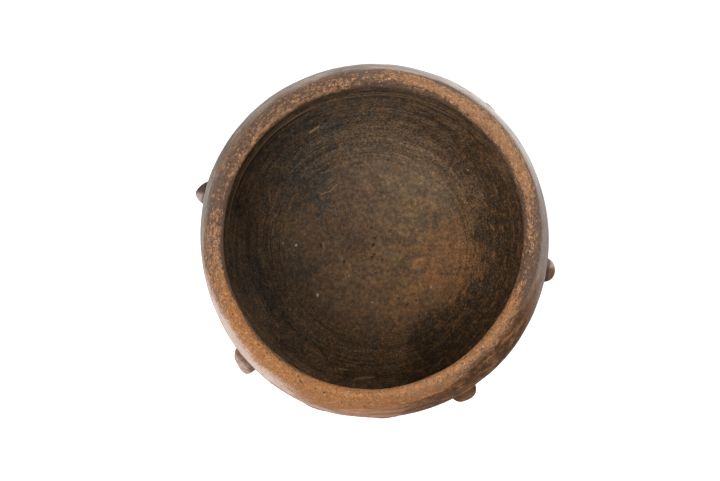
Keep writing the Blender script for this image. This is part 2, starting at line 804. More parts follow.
@dataclass(frozen=True)
class FiringMap:
    """Where the fire smoked, reddened or paled the clay, and where it was rubbed to a gloss."""

    noise: ClayNoise = ClayNoise(31)
    rubbed_lay: float = 264.6  # up to here the outside is rubbed, and above it the lip is left gritty
    smoked_lay: float = 291.5  # from here on the hollow is smoked
    lip_middle: float = 280.0  # lay of the lip's middle, where the fire's edges are crispest
    crisp: Pair = (14.0, 60.0)  # ways from it over which they turn softer
    turn_stray: Pair = (6.0, 14.0)  # degrees that the edges stray, and more where soft
    lay_stray: Pair = (3.0, 15.0)
    stray_sizes: Pair = (44.0, 30.0)  # of the waves in which they stray, each way
    ragged_size: float = 26.0
    rubbed_ragged: float = 1.3  # how ragged the rubbed skin's edge is
    smoked_ragged: float = 1.6
    cloud_size: float = 31.0  # of the waves that move the hollow's clouds, and how far they do
    cloud_stray: float = 9.0
    hollow_gloss: float = 0.3
    smoke_edge: Pair = (-1.0, 7.0)  # ways past smoked_lay over which the hollow's fire sets in
    smoke: tuple[Patch, ...] = rows_of(
        Patch,
        (318, 27, 70, 274, 1.0, 14, 4), (300, 12, 90, 270, 0.35, 12, 3), (140, 34, 150, 230, 0.4, 26, 30),
        (60, 50, 60, 170, 0.5, 30, 30), (250, 70, 40, 110, 0.8, 40, 30), (180, 60, 60, 150, 0.6, 30, 30),
        (0, 180, 0, 95, 1.0, 12, 22),
    )
    pale: tuple[Patch, ...] = rows_of(
        Patch,
        (232, 23, 248, 270, 0.85, 14, 12), (228, 22, 236, 266, 0.22, 16, 16),
        (138, 32, 252, 266, 0.28, 14, 7), (208, 12, 240, 266, 0.4, 12, 10), (56, 22, 236, 263, 0.6, 18, 8),
        (40, 26, 180, 225, 0.4, 24, 26),
    )
    gloss: tuple[Patch, ...] = rows_of(
        Patch,
        (228, 30, 150, 268, 0.7, 18, 8), (56, 36, 150, 270, 1.0, 14, 4), (186, 20, 150, 264, 0.5, 14, 8),
        (8, 14, 170, 268, 0.3, 12, 8), (115, 30, 150, 264, 0.6, 18, 6), (270, 16, 120, 266, 0.35, 16, 8),
    )
    warm: tuple[Patch, ...] = rows_of(
        Patch,
        (262, 34, 150, 300, 0.8, 22, 30), (222, 22, 262, 292, 0.8, 12, 8), (330, 26, 276, 300, 0.5, 14, 6),
        (40, 24, 262, 292, 0.15, 16, 6), (327, 1.6, 266, 270, 1.0, 1.6, 2), (52, 16, 246, 262, 0.35, 12, 8),
        (294, 16, 238, 270, 0.6, 10, 8),
    )
    slip: tuple[Patch, ...] = rows_of(
        Patch,
        (40, 60, 264, 298, 0.08, 30, 5), (101, 10, 262, 296, 0.5, 8, 5), (80, 16, 282, 300, 0.62, 8, 3),
        (56, 20, 286, 300, 0.45, 8, 3), (74, 7, 262, 269, 0.7, 5, 3), (140, 38, 250, 266, 0.25, 12, 4),
        (145, 36, 286, 300, 0.6, 14, 3), (145, 34, 266, 284, 0.64, 14, 3), (190, 22, 286, 300, 0.55, 10, 3),
        (225, 26, 287, 300, 0.85, 10, 3), (8, 12, 262, 296, 0.38, 7, 6), (25, 18, 285, 300, 0.6, 8, 3),
        (184, 14, 262, 296, 0.35, 9, 5), (206, 12, 262, 280, 0.4, 10, 6), (330, 26, 266, 275, 0.6, 10, 4),
        (317, 5, 266, 285, 0.25, 4, 4), (352, 8, 266, 290, 0.5, 6, 5), (330, 30, 290, 302, 0.6, 10, 3),
        (280, 36, 291, 302, 0.6, 10, 3), (46, 40, 226, 268, 0.7, 16, 10), (46, 44, 196, 262, 0.3, 24, 30),
        (4, 20, 222, 268, 0.7, 12, 16), (136, 42, 224, 261, 0.7, 16, 14), (188, 18, 215, 262, 0.6, 14, 12),
    )
    rubbed_rise: tuple[Patch, ...] = rows_of(
        Patch,
        (331, 22, 200, 330, 5.0, 12, 5), (154, 40, 200, 330, 3.5, 12, 5), (228, 40, 200, 330, -10.0, 14, 5),
    )
    vague: tuple[Patch, ...] = rows_of(
        Patch,
        (331, 22, 200, 330, 1.5, 12, 5), (138, 48, 200, 330, 3.0, 14, 5), (236, 46, 200, 330, 2.5, 14, 5),
        (6, 16, 200, 330, 2.0, 10, 5),
    )
    smoked_rise: tuple[Patch, ...] = rows_of(
        Patch,
        (222, 36, 270, 330, 3.0, 16, 6), (120, 36, 270, 330, 1.6, 16, 6),
    )
    chips: tuple[Patch, ...] = rows_of(
        Patch,
        (8.5, 0.7, 271.5, 275, 1.0, 0.7, 1.2), (326.7, 0.6, 272, 275, 1.0, 0.7, 1.2),
        (331, 0.4, 271, 272.5, 1.0, 0.5, 1.0), (80.5, 0.6, 268.5, 271, 1.0, 0.7, 1.2),
        (26, 0.5, 273.5, 276, 0.9, 0.6, 1.0), (173.5, 0.5, 268, 274, 1.0, 0.6, 1.0),
        (162.5, 0.6, 267, 269.5, 1.0, 0.7, 1.0), (141.5, 0.5, 270, 272, 0.8, 0.6, 1.0),
    )
    floor_warm: tuple[Cloud, ...] = rows_of(
        Cloud,
        (62, 10, 40, 0.6), (30, -44, 36, 0.5), (76, -28, 26, 0.6), (108, -26, 40, 0.45), (96, 34, 36, 0.3),
        (-48, 34, 26, 0.4), (-30, -6, 30, 0.3),
    )
    floor_grey: tuple[Cloud, ...] = rows_of(
        Cloud,
        (-100, -30, 70, 0.8), (-70, 80, 60, 0.9), (-10, 110, 56, 0.8),
    )
    floor_pale: tuple[Cloud, ...] = rows_of(
        Cloud,
        (40, 62, 36, 0.6), (2, 84, 34, 0.5), (24, 30, 40, 0.3), (-104, -24, 40, 0.5), (-86, -78, 34, 0.5),
        (-62, 84, 34, 0.4),
    )
    floor_smoke: tuple[Cloud, ...] = rows_of(
        Cloud,
        (58, -72, 20, 0.55), (66, -92, 22, 0.6), (-70, -36, 40, 0.55), (-66, 56, 40, 0.6),
        (-40, 20, 30, 0.3), (-16, 4, 20, 0.3), (112, 34, 36, 0.8), (108, -36, 30, 0.6), (84, -62, 26, 0.4),
        (96, -42, 30, 0.3), (66, 88, 24, 0.3),
    )
    under_lip: tuple[Patch, ...] = rows_of(
        Patch,
        (222, 36, 284, 322, 0.72, 18, 8), (120, 34, 284, 318, 0.25, 18, 8), (338, 26, 284, 340, 0.3, 18, 14),
    )
    wall_smoke: float = 0.55
    smoked_wall: Pair = (462.0, 412.0)  # lay over which the walls' smoke sets in

    @staticmethod
    def covered(patches: Iterable[Patch], direction: Array, lay: Array) -> Array:
        """Sum of the patches' strengths at each place."""
        return sum(patch.at(direction, lay) for patch in patches)

    @staticmethod
    def clouds(clouds: Iterable[Cloud], points: Array) -> Array:
        """Sum of the clouds' strengths at each point."""
        far = [np.hypot(points[:, 0] - cloud.x, points[:, 1] - cloud.y) / cloud.radius for cloud in clouds]
        return sum(cloud.strength * np.exp(-(way**2)) for cloud, way in zip(clouds, far))

    def values(self, spots: Spots, pits: Array) -> dict[str, Array]:
        """The numbers at each spot that the finishes read.

        Args:
            spots: The places.
            pits: How deep the pits are there.

        Returns:
            The numbers by name.
        """
        stray = self.noise.layered(spots.points, self.ragged_size, 2)
        soft = smooth_step(np.abs(spots.lay - self.lip_middle), *self.crisp)
        turns, lays = (least + more * soft for least, more in (self.turn_stray, self.lay_stray))
        waves = [self.noise.layered(spots.points, size, 2) for size in self.stray_sizes]
        direction, lay = spots.direction + turns * waves[0], spots.lay + lays * waves[1]
        aside = np.column_stack([stray, self.noise.plain(spots.points, self.cloud_size), 0 * stray])
        moved = spots.points + self.cloud_stray * aside
        patches = {name: self.covered(getattr(self, name), direction, lay)
                   for name in ("smoke", "pale", "gloss", "warm", "slip")}
        wall = self.wall_smoke * smooth_step(spots.lay, *self.smoked_wall)
        wall += self.covered(self.under_lip, direction, lay)
        hollow = {
            "smoke": self.clouds(self.floor_smoke, moved) + wall,
            "pale": self.clouds(self.floor_pale, moved),
            "gloss": np.full(len(lay), self.hollow_gloss),
            "warm": self.clouds(self.floor_warm, moved),
            "slip": self.clouds(self.floor_grey, moved),
        }
        deep = smooth_step(spots.lay - self.smoked_lay, *self.smoke_edge)
        values = {name: np.clip(patches[name] * (1 - deep) + hollow[name] * deep, 0, 1) for name in patches}
        parts = (self.rubbed_rise, self.vague, self.chips, self.smoked_rise)
        rise, vague, chips, early = (self.covered(part, spots.direction, spots.lay) for part in parts)
        values["rubbed"] = (self.rubbed_lay + rise + self.rubbed_ragged * stray - spots.lay) / (1 + vague)
        values["seam"] = (1 + vague) ** -2.0
        values["smoked"] = spots.lay + early - self.smoked_lay - self.smoked_ragged * stray
        return values | {"chip": chips, "pit": pits, "lay": spots.lay}


@dataclass
class Bowl:
    """The bowl itself: dish, coils and lip, which share one skin."""

    form: PotForm
    marks: HandMarks
    firing: FiringMap
    skins: Sequence[Material]
    slots: dict[str, str]
    lip_lays: Pair = (243.2, 304.2)  # between which the lip's finish is used

    def spots(self, rows: Rows) -> tuple[Spots, Array]:
        """The places of the bowl's points on the smooth form.

        Args:
            rows: The rings of points.

        Returns:
            The places, and where each ring starts in them.
        """
        starts = np.concatenate([[0], np.cumsum(rows.count)])
        ring = np.repeat(np.arange(len(rows.count)), rows.count)
        direction = (np.arange(starts[-1]) - starts[ring]) / rows.count[ring] * 360
        points = self.form.placed(rows.radius[ring], rows.height[ring], direction)
        slope = np.gradient(np.column_stack([rows.radius, rows.height]), axis=0)
        slope /= np.linalg.norm(slope, axis=1, keepdims=True)
        out = rows_at(slope[ring, 1], direction, -slope[ring, 0])
        return Spots(points, out, direction, rows.lay[ring], rows.inside[ring]), starts

    def skin_of(self, row: int, rows: Rows) -> int:
        """Number of the material slot between a ring and the next."""
        lip = self.lip_lays[0] < rows.lay[row] < self.lip_lays[1]
        return (SkinSlot.LIP if lip else SkinSlot.HOLLOW if rows.inside[row] else SkinSlot.OUTSIDE).value

    def build(self) -> list[SceneObject]:
        """Makes the dish, the coils and the lip.

        Returns:
            Their objects, from the dish up.
        """
        rows = RowPlan(self.form).make()
        spots, starts = self.spots(rows)
        out, pits = self.marks.out(spots)
        points = spots.points + spots.out * out[:, None]
        last = len(rows.count) - 1
        whole = FaceList()
        rings = [np.arange(starts[i], starts[i + 1]) for i in range(last + 1)]
        for i in range(last):
            whole.band(rings[i], rings[i + 1], 0)
        normals = corner_normals(points, whole.gathered()[0])
        values = self.firing.values(spots, pits)
        outer, inner = rows.joints_outside, rows.joints_inside
        spans = [("base_dish", [(0, outer[0]), (inner[0], last)])]
        spans += [(f"wall_coil_{i + 1}", [(outer[i], outer[i + 1]), (inner[i + 1], inner[i])])
                  for i in range(self.form.coil_count)]
        spans.append(("lip_coil", [(outer[-1], inner[-1])]))
        made = []
        for node, parts in spans:
            faces = FaceList()
            for i in (i for part in parts for i in range(*part)):
                faces.band(rings[i], rings[i + 1], self.skin_of(i, rows))
            ends = [end for part in parts for end in part]
            if len(parts) == 2:
                faces.band(rings[ends[1]], rings[ends[2]], SkinSlot.JOINT.value)
            if node != "base_dish":
                faces.band(rings[ends[-1]], rings[ends[0]], SkinSlot.JOINT.value)
            made.append(self.piece(node, faces, points, normals, values))
        return made

    def piece(self, node: str, faces: FaceList, points: Array, normals: Array,
              values: dict[str, Array]) -> SceneObject:
        """Makes one piece of the bowl from its faces.

        Args:
            node: The solid that it stands for.
            faces: Its faces, with the whole bowl's point numbers.
            points: The whole bowl's points.
            normals: Their normals.
            values: The numbers at them that the finishes read.

        Returns:
            The object.
        """
        used = np.unique(np.concatenate([group.ravel() for group, _ in faces.parts]))
        number = np.zeros(len(points), np.int64)
        number[used] = np.arange(len(used))
        faces.parts = [(number[group], skins) for group, skins in faces.parts]
        own = {name: value[used] for name, value in values.items()}
        mesh = ClayMesh(f"clay_{node}", points[used], faces, self.skins, self.slots[node], node, own,
                        normals[used], SkinSlot.JOINT.value)
        return mesh.build()


@dataclass(frozen=True)
class Seat:
    """Where a pressed piece sits: its middle's direction and height, and its turn in the wall's plane."""

    direction: float
    height: float
    turn: float = 0.0


@dataclass
class PressedPiece:
    """A pad of clay pressed on the wall and smeared into it round its edge.

    Along and across are its own directions in the plane of the wall, and a share of 1 is its edge.
    """

    node: str
    seat: Seat
    length: float
    width: float
    relief: float
    blunt: float = 2.0
    flare: float = 0.0
    bow: float = 0.0
    crown: float = 2.2  # higher is flatter on top
    smear: float = 0.8  # higher runs out more softly into the wall
    around: int = 120
    rings: int = 34
    spread: float = 0.8  # of its rings; below 1 they lie closer towards its edge
    skirt: float = 0.1  # how far past its edge it goes on, inside the wall
    sunk: float = 1.2
    level: bool = False
    lumps: tuple[Unevenness, ...] = rows_of(Unevenness, (0.22, 9), (0.08, 3.4, 2))
    ash: float = 0.0  # how dark grey it is
    dust: float = 0.0  # how pale its top is
    dust_side: float = 0.0  # 1 for dust on the side of greater directions only, and -1 for the other
    dust_edge: Pair = (-0.25, 0.45)  # shares of its length over which that dust sets in
    lump_start: Pair = (0.0, 2.0)  # ways out of the wall over which its own lumps set in

    def height_share(self, along: Array, across: Array, edge: Array) -> Array:
        """Height of the pad as a share of its relief."""
        return (1 - edge**self.crown) ** self.smear * (1 - self.flare * along)

    @property
    def turns(self) -> Array:
        """The angles of the points round it, in radians."""
        return np.arange(self.around) / self.around * 2 * math.pi

    def outline(self) -> Array:
        """Cosines and sines of its blunt outline, as two rows."""
        ways = np.array([np.cos(self.turns), np.sin(self.turns)])
        return ways * (np.abs(ways) ** self.blunt).sum(axis=0) ** (-1 / self.blunt)

    def shape(self) -> tuple[Array, Array, Array]:
        """The pad's points, ring by ring from its middle to its edge and down into the wall to a middle.

        Returns:
            Their ways along and across it, and how far out of the wall they are.
        """
        share = np.concatenate([np.linspace(0, 1, self.rings + 1)[1:] ** self.spread, [1 + self.skirt]])
        along, across = (np.outer(share, way).ravel() for way in self.outline())
        edge = np.repeat(share, self.around)
        along, across, edge = (np.concatenate([[0], part, [0]]) for part in (along, across, edge))
        inner = np.minimum(edge, 1)
        out = self.relief * self.height_share(along, across, inner) - self.sunk * (edge - inner) / self.skirt
        out[-1] = -self.sunk
        wide = self.width / 2 * (1 - self.flare * along)
        return along * self.length / 2, across * wide + self.bow * (1 - along**2), out

    def faces(self, points: int) -> FaceList:
        """Joins the rings.

        Args:
            points: How many points the piece has, with a middle at both ends.

        Returns:
            The faces.
        """
        made = FaceList()
        rings = [np.array([0]), *np.arange(1, points - 1).reshape(-1, self.around), np.array([points - 1])]
        for inner, outer in zip(rings, rings[1:]):
            made.band(outer, inner, 0)
        return made

    def spots(self, form: PotForm, along: Array, across: Array, out: Array) -> Spots:
        """Puts points of the piece on the wall.

        Args:
            form: The bowl.
            along: Ways along the piece.
            across: Ways across it.
            out: Ways out of the wall.

        Returns:
            The places.
        """
        turn = math.radians(self.seat.turn)
        right = along * math.cos(turn) - across * math.sin(turn)
        height = self.seat.height + along * math.sin(turn) + across * math.cos(turn)
        reach = form.outer_radius(np.array([self.seat.height]))[0]
        direction = self.seat.direction + np.degrees(right / reach)
        radial, up = (np.ones_like(out), np.zeros_like(out)) if self.level else form.wall_normal(height)
        radius = form.outer_radius(height) * (1 + form.out_of_round(direction, height))
        normal, foot = rows_at(radial, direction, up), rows_at(radius, direction, height)
        levels = np.linspace(0, form.total_height, 600)[::20]
        lay = np.interp(height, levels, [form.outer_lay(level) for level in levels])
        return Spots(foot + normal * out[:, None], normal, direction % 360, lay, np.zeros(len(out), bool))

    def wear(self, along: Array) -> dict[str, Array]:
        """How grey and how dusty the piece is.

        Args:
            along: Ways of its points along it.

        Returns:
            Numbers at them, as ash and dust.
        """
        way = self.dust_side * along * 2 / self.length
        side = smooth_step(way, *self.dust_edge) if self.dust_side else 1.0
        return {"ash": np.full(len(along), self.ash), "dust": self.dust * side * np.ones_like(along)}

    def build(self, marks: HandMarks, firing: FiringMap, skin: Material,
              slot: str) -> SceneObject:
        """Makes the piece.

        Args:
            marks: The marks that the wall under it has.
            firing: The firing of the wall round it.
            skin: Its finish.
            slot: Its slot in the record.

        Returns:
            The object.
        """
        along, across, out = self.shape()
        spots = self.spots(marks.form, along, across, out)
        wall, pits = marks.out(spots)
        rise = smooth_step(out, *self.lump_start)
        moved = wall + rise * marks.uneven(spots, self.lumps)
        points = spots.points + spots.out * moved[:, None]
        values = firing.values(spots, pits)
        values["raised"] = np.maximum(out, 0)
        values |= self.wear(along)
        mesh = ClayMesh(f"clay_{self.node}", points, self.faces(len(points)), [skin], slot, self.node, values)
        return mesh.build()


@dataclass
class Lug(PressedPiece):
    """A tongue of clay that stands out level from the wall, with a thumb's dent in its top."""

    level: bool = True
    rings: int = 30
    root: float = 3.0  # how far its foot goes into the wall
    fillet: float = 2.4
    flared: float = 0.22  # share by which its root widens, half of which it thickens
    thick: float = 0.82  # its thickness as a share of its width
    dent: float = 1.3
    dent_middle: float = 0.55  # as a share of how far it stands out, like the dent's size
    dent_size: float = 0.42
    dent_long: float = 1.5  # times as long as wide
    taper: float = 2.5  # lower is more pointed
    lean: float = 0.0  # how far its tip leans towards greater directions
    skew: float = 0.0  # share by which it reaches further on the side of greater directions
    sweep: float = 0.0  # how much its root is drawn out towards lesser directions
    lumps: tuple[Unevenness, ...] = rows_of(Unevenness, (0.4, 8), (0.13, 3, 2))

    def shape(self) -> tuple[Array, Array, Array]:
        """The tongue's points, ring by ring from its tip back to its root in the wall.

        Returns:
            Their ways along and up it, and how far out of the wall they are.
        """
        share = np.linspace(0, 1, self.rings + 1)[1:]
        out = self.relief * np.cos(share * math.pi / 2)
        out = np.concatenate([out, [-self.root / 2, -self.root]])
        full = np.maximum(out, 0) / self.relief
        body = (1 - full**self.taper) ** (1 / self.taper)
        run_out = np.exp(-np.maximum(out, 0) / self.fillet)
        flare = 1 + self.flared * run_out
        along, up = self.outline()
        swept = self.sweep * np.outer(np.sqrt(run_out), np.maximum(-np.cos(self.turns), 0) ** 2)
        along = np.outer(body * flare, along) * self.length / 2 * (1 + swept)
        up = np.outer(body * (self.thick + 0.5 * (flare - 1)), up) * self.width / 2
        reach = np.repeat(out, self.around)
        along, up = along.ravel() + self.lean * (reach / self.relief) ** 2, up.ravel()
        reach = np.where(reach > 0, reach * (1 + self.skew * along / (self.length / 2)), reach)
        top = smooth_step(up, 0, self.width / 4)
        past = reach - self.dent_middle * self.relief
        thumb = bell(np.hypot(along / self.dent_long, past), self.dent_size * self.relief)
        up = up - self.dent * top * thumb
        ends = ([self.lean], along, [0]), ([0], up, [0]), ([self.relief], reach, [-self.root])
        return tuple(np.concatenate(part) for part in ends)


@dataclass
class Eye(PressedPiece):
    """A calm eye: a rounded pad with lids that are almost shut."""

    crown: float = 2.4
    smear: float = 0.7
    line_drop: float = 0.16  # how far below its middle the lids meet, as a share of half its width
    line_bow: float = 0.3
    line_ends: Pair = (0.92, 0.66)
    folds: tuple[Bump, ...] = ((-0.46, 0, 0.13), (0.1, 0.3, 0.16), (-0.08, -0.42, 0.1))

    def height_share(self, along: Array, across: Array, edge: Array) -> Array:
        """Height of the pad, with the slit between its lids, the lid over it and the fold under it.

        Args:
            along: Places along it, from -1 to 1.
            across: Places across it, from -1 to 1.
            edge: How near the edge they are, from 0 in the middle to 1.

        Returns:
            The shares.
        """
        full = super().height_share(along, across, edge)
        line = across + self.line_drop - self.line_bow * along**2
        ends = smooth_step(np.abs(along), *self.line_ends)
        for rise, place, width in self.folds:
            full = full + rise * bell(line - place, width) * ends
        return full


@dataclass(frozen=True)
class Knob:
    """A rounded rise on both sides of the nose's middle line, in shares of the nose's own sizes."""

    rise: float
    along: float
    across: float
    radius: float
    narrow: float  # times as long as wide

    def at(self, along: Array, across: Array) -> Array:
        """How high it stands at each place."""
        aside = self.narrow * (np.abs(across) - self.across)
        return self.rise * bell(np.hypot(along - self.along, aside), self.radius)


@dataclass
class Nose(PressedPiece):
    """A plain nose: a narrow bridge that widens to a rounded tip with two wings."""

    rings: int = 44
    around: int = 160
    crown: float = 3.0
    smear: float = 0.9
    bridge: Pair = (0.5, 0.2)  # its height in the middle, and how much it falls to the root
    tip: Bump = (0.34, -0.6, 0.32)
    ridge: Pair = (0.62, 0.1)  # half width in the middle, and how much it narrows to the root
    ridge_round: Pair = (1.7, 1.2)
    base: float = 0.12  # height of what is neither bridge nor wing
    wing: Knob = Knob(0.306, -0.62, 0.62, 0.3, 1.5)
    nostril: Knob = Knob(0.2, -0.86, 0.3, 0.14, 2.0)

    def height_share(self, along: Array, across: Array, edge: Array) -> Array:
        """Height of the bridge, the tip and the wings.

        Args:
            along: Places along it, from -1 at the tip to 1 at the root.
            across: Places across it, from -1 to 1.
            edge: How near the edge they are, from 0 in the middle to 1.

        Returns:
            The shares.
        """
        rise, place, width = self.tip
        bridge = self.bridge[0] - self.bridge[1] * along + rise * bell(along - place, width)
        aside = np.clip(np.abs(across) / (self.ridge[0] - self.ridge[1] * along), 0, 1)
        ridge = (1 - aside ** self.ridge_round[0]) ** self.ridge_round[1]
        soft = (1 - edge**self.crown) ** self.smear
        knobs = self.wing.at(along, across) - self.nostril.at(along, across)
        return soft * (bridge * ridge + knobs + self.base)


@dataclass
class Lip(PressedPiece):
    """A lip, fuller on both sides of its middle."""

    middle_dip: float = 0.12
    dip_width: float = 0.2
    corner_drop: float = 0.3

    def height_share(self, along: Array, across: Array, edge: Array) -> Array:
        """Height of the lip, a little lower in its middle and towards its corners."""
        full = super().height_share(along, across, edge) * (1 - self.corner_drop * along**2)
        return full * (1 - self.middle_dip * bell(along, self.dip_width))


@dataclass
class PressedPieces:
    """All that is pressed on the wall: the lugs, the face and the strip over the right ear."""

    marks: HandMarks
    firing: FiringMap
    skin: Material
    slot: str
    lug_height: float = 86.0
    lug_depth: float = 15.0
    lug_width: float = 24.0
    lug_reach: float = 14.0
    lugs: tuple[tuple[str, float, float, float, dict[str, float]], ...] = (
        ("ear_lug_left", 230.0, 1.04, 1.06, {"taper": 3.0, "lean": 0.5, "skew": 0.2, "dust": 1.0}),
        ("ear_lug_right", 308.75, 0.96, 0.97, {"taper": 2.6, "lean": 0.5, "ash": 0.1}),
        ("side_lug_right", 358.5, 0.92, 1.11, {"taper": 2.3, "ash": 0.4, "dust": 1.2, "dust_side": 1}),
        ("back_lug_right", 57, 0.96, 0.8, {"lean": 0.5}),
        ("back_lug_left", 114, 0.96, 0.68, {"lean": -0.5, "ash": 0.3, "dust": 0.2}),
        ("side_lug_left", 171.2, 0.96, 1.2,
         {"taper": 1.7, "lean": 1.8, "sweep": 0.5, "ash": 1.0, "dust": 1.3, "dust_side": 1}),
    )  # node, direction, width and reach as shares of the usual ones, and what else sets it apart
    eye_height: float = 83.0
    eye_spacing: float = 58.0
    eye_size: Size = (31, 14, 6)
    brow_spacing: float = 13.0
    brow_size: Size = (46, 8, 3.6)
    brow_tilt: float = 4.0  # degrees by which its outer end is lower
    nose_root: float = 7.0
    nose_size: Size = (35, 18, 9)
    mouth_spacing: float = 11.0
    lip_gap: float = 0.8
    lip_relief: float = 6.0
    upper_lip: Pair = (46.0, 7.5)
    lower_lip: Pair = (40.0, 8.5)
    ridge_ends: tuple[Pair, Pair] = ((293, 158), (314, 134))
    ridge_size: Pair = (8, 2.6)  # width and relief

    def lug_pieces(self) -> list[PressedPiece]:
        """The lugs, each with what sets it apart.

        Returns:
            The pieces.
        """
        return [Lug(node, Seat(direction, self.lug_height), wider * self.lug_width, self.lug_depth,
                    longer * self.lug_reach, blunt=2.3, **own)
                for node, direction, wider, longer, own in self.lugs]

    def face_pieces(self) -> list[PressedPiece]:
        """The brows, eyes, nose and lips.

        Returns:
            The pieces.
        """
        reach = self.marks.form.outer_radius(np.array([self.eye_height]))[0]
        aside = math.degrees(self.eye_spacing / 2 / reach)
        made: list[PressedPiece] = []
        for name, side in (("left", -1), ("right", 1)):
            direction = FACE_DIRECTION + side * aside
            made.append(Eye(f"eye_{name}", Seat(direction, self.eye_height), *self.eye_size))
            seat = Seat(direction, self.eye_height + self.brow_spacing, -side * self.brow_tilt)
            made.append(PressedPiece(f"brow_{name}", seat, *self.brow_size, blunt=3, bow=4, smear=1.0))
        root, length = self.eye_height + self.nose_root, self.nose_size[0]
        seat = Seat(FACE_DIRECTION, root - length / 2, 90)
        made.append(Nose("nose", seat, *self.nose_size, blunt=2.6, flare=0.42))
        line = root - length - self.mouth_spacing
        for name, side, size, dip in (("upper", 1, self.upper_lip, 0.2), ("lower", -1, self.lower_lip, 0.06)):
            seat = Seat(FACE_DIRECTION, line + side * (self.lip_gap + size[1]) / 2)
            shape = {"blunt": 2.4, "bow": side * 1.6, "middle_dip": dip}
            made.append(Lip(f"{name}_lip", seat, *size, self.lip_relief, **shape))
        return made

    def ridge_piece(self) -> PressedPiece:
        """The strip of clay that sweeps from under the lip down to the right ear.

        Returns:
            The piece.
        """
        (start, top), (end, bottom) = self.ridge_ends
        height = (top + bottom) / 2
        across = math.radians(end - start) * self.marks.form.outer_radius(np.array([height]))[0]
        fall = top - bottom
        seat = Seat((start + end) / 2, height, -math.degrees(math.atan2(fall, across)))
        length = math.hypot(across, fall)
        return PressedPiece("shoulder_ridge", seat, length, *self.ridge_size, blunt=2.6, bow=3, smear=1.1)

    def build(self) -> list[SceneObject]:
        """Makes all the pieces."""
        pieces = [*self.lug_pieces(), *self.face_pieces(), self.ridge_piece()]
        return [piece.build(self.marks, self.firing, self.skin, self.slot) for piece in pieces]


Feed = Socket | float | tuple[float, ...]
Feeds = dict[str | int, Feed]
Sockets = dict[str, Socket]


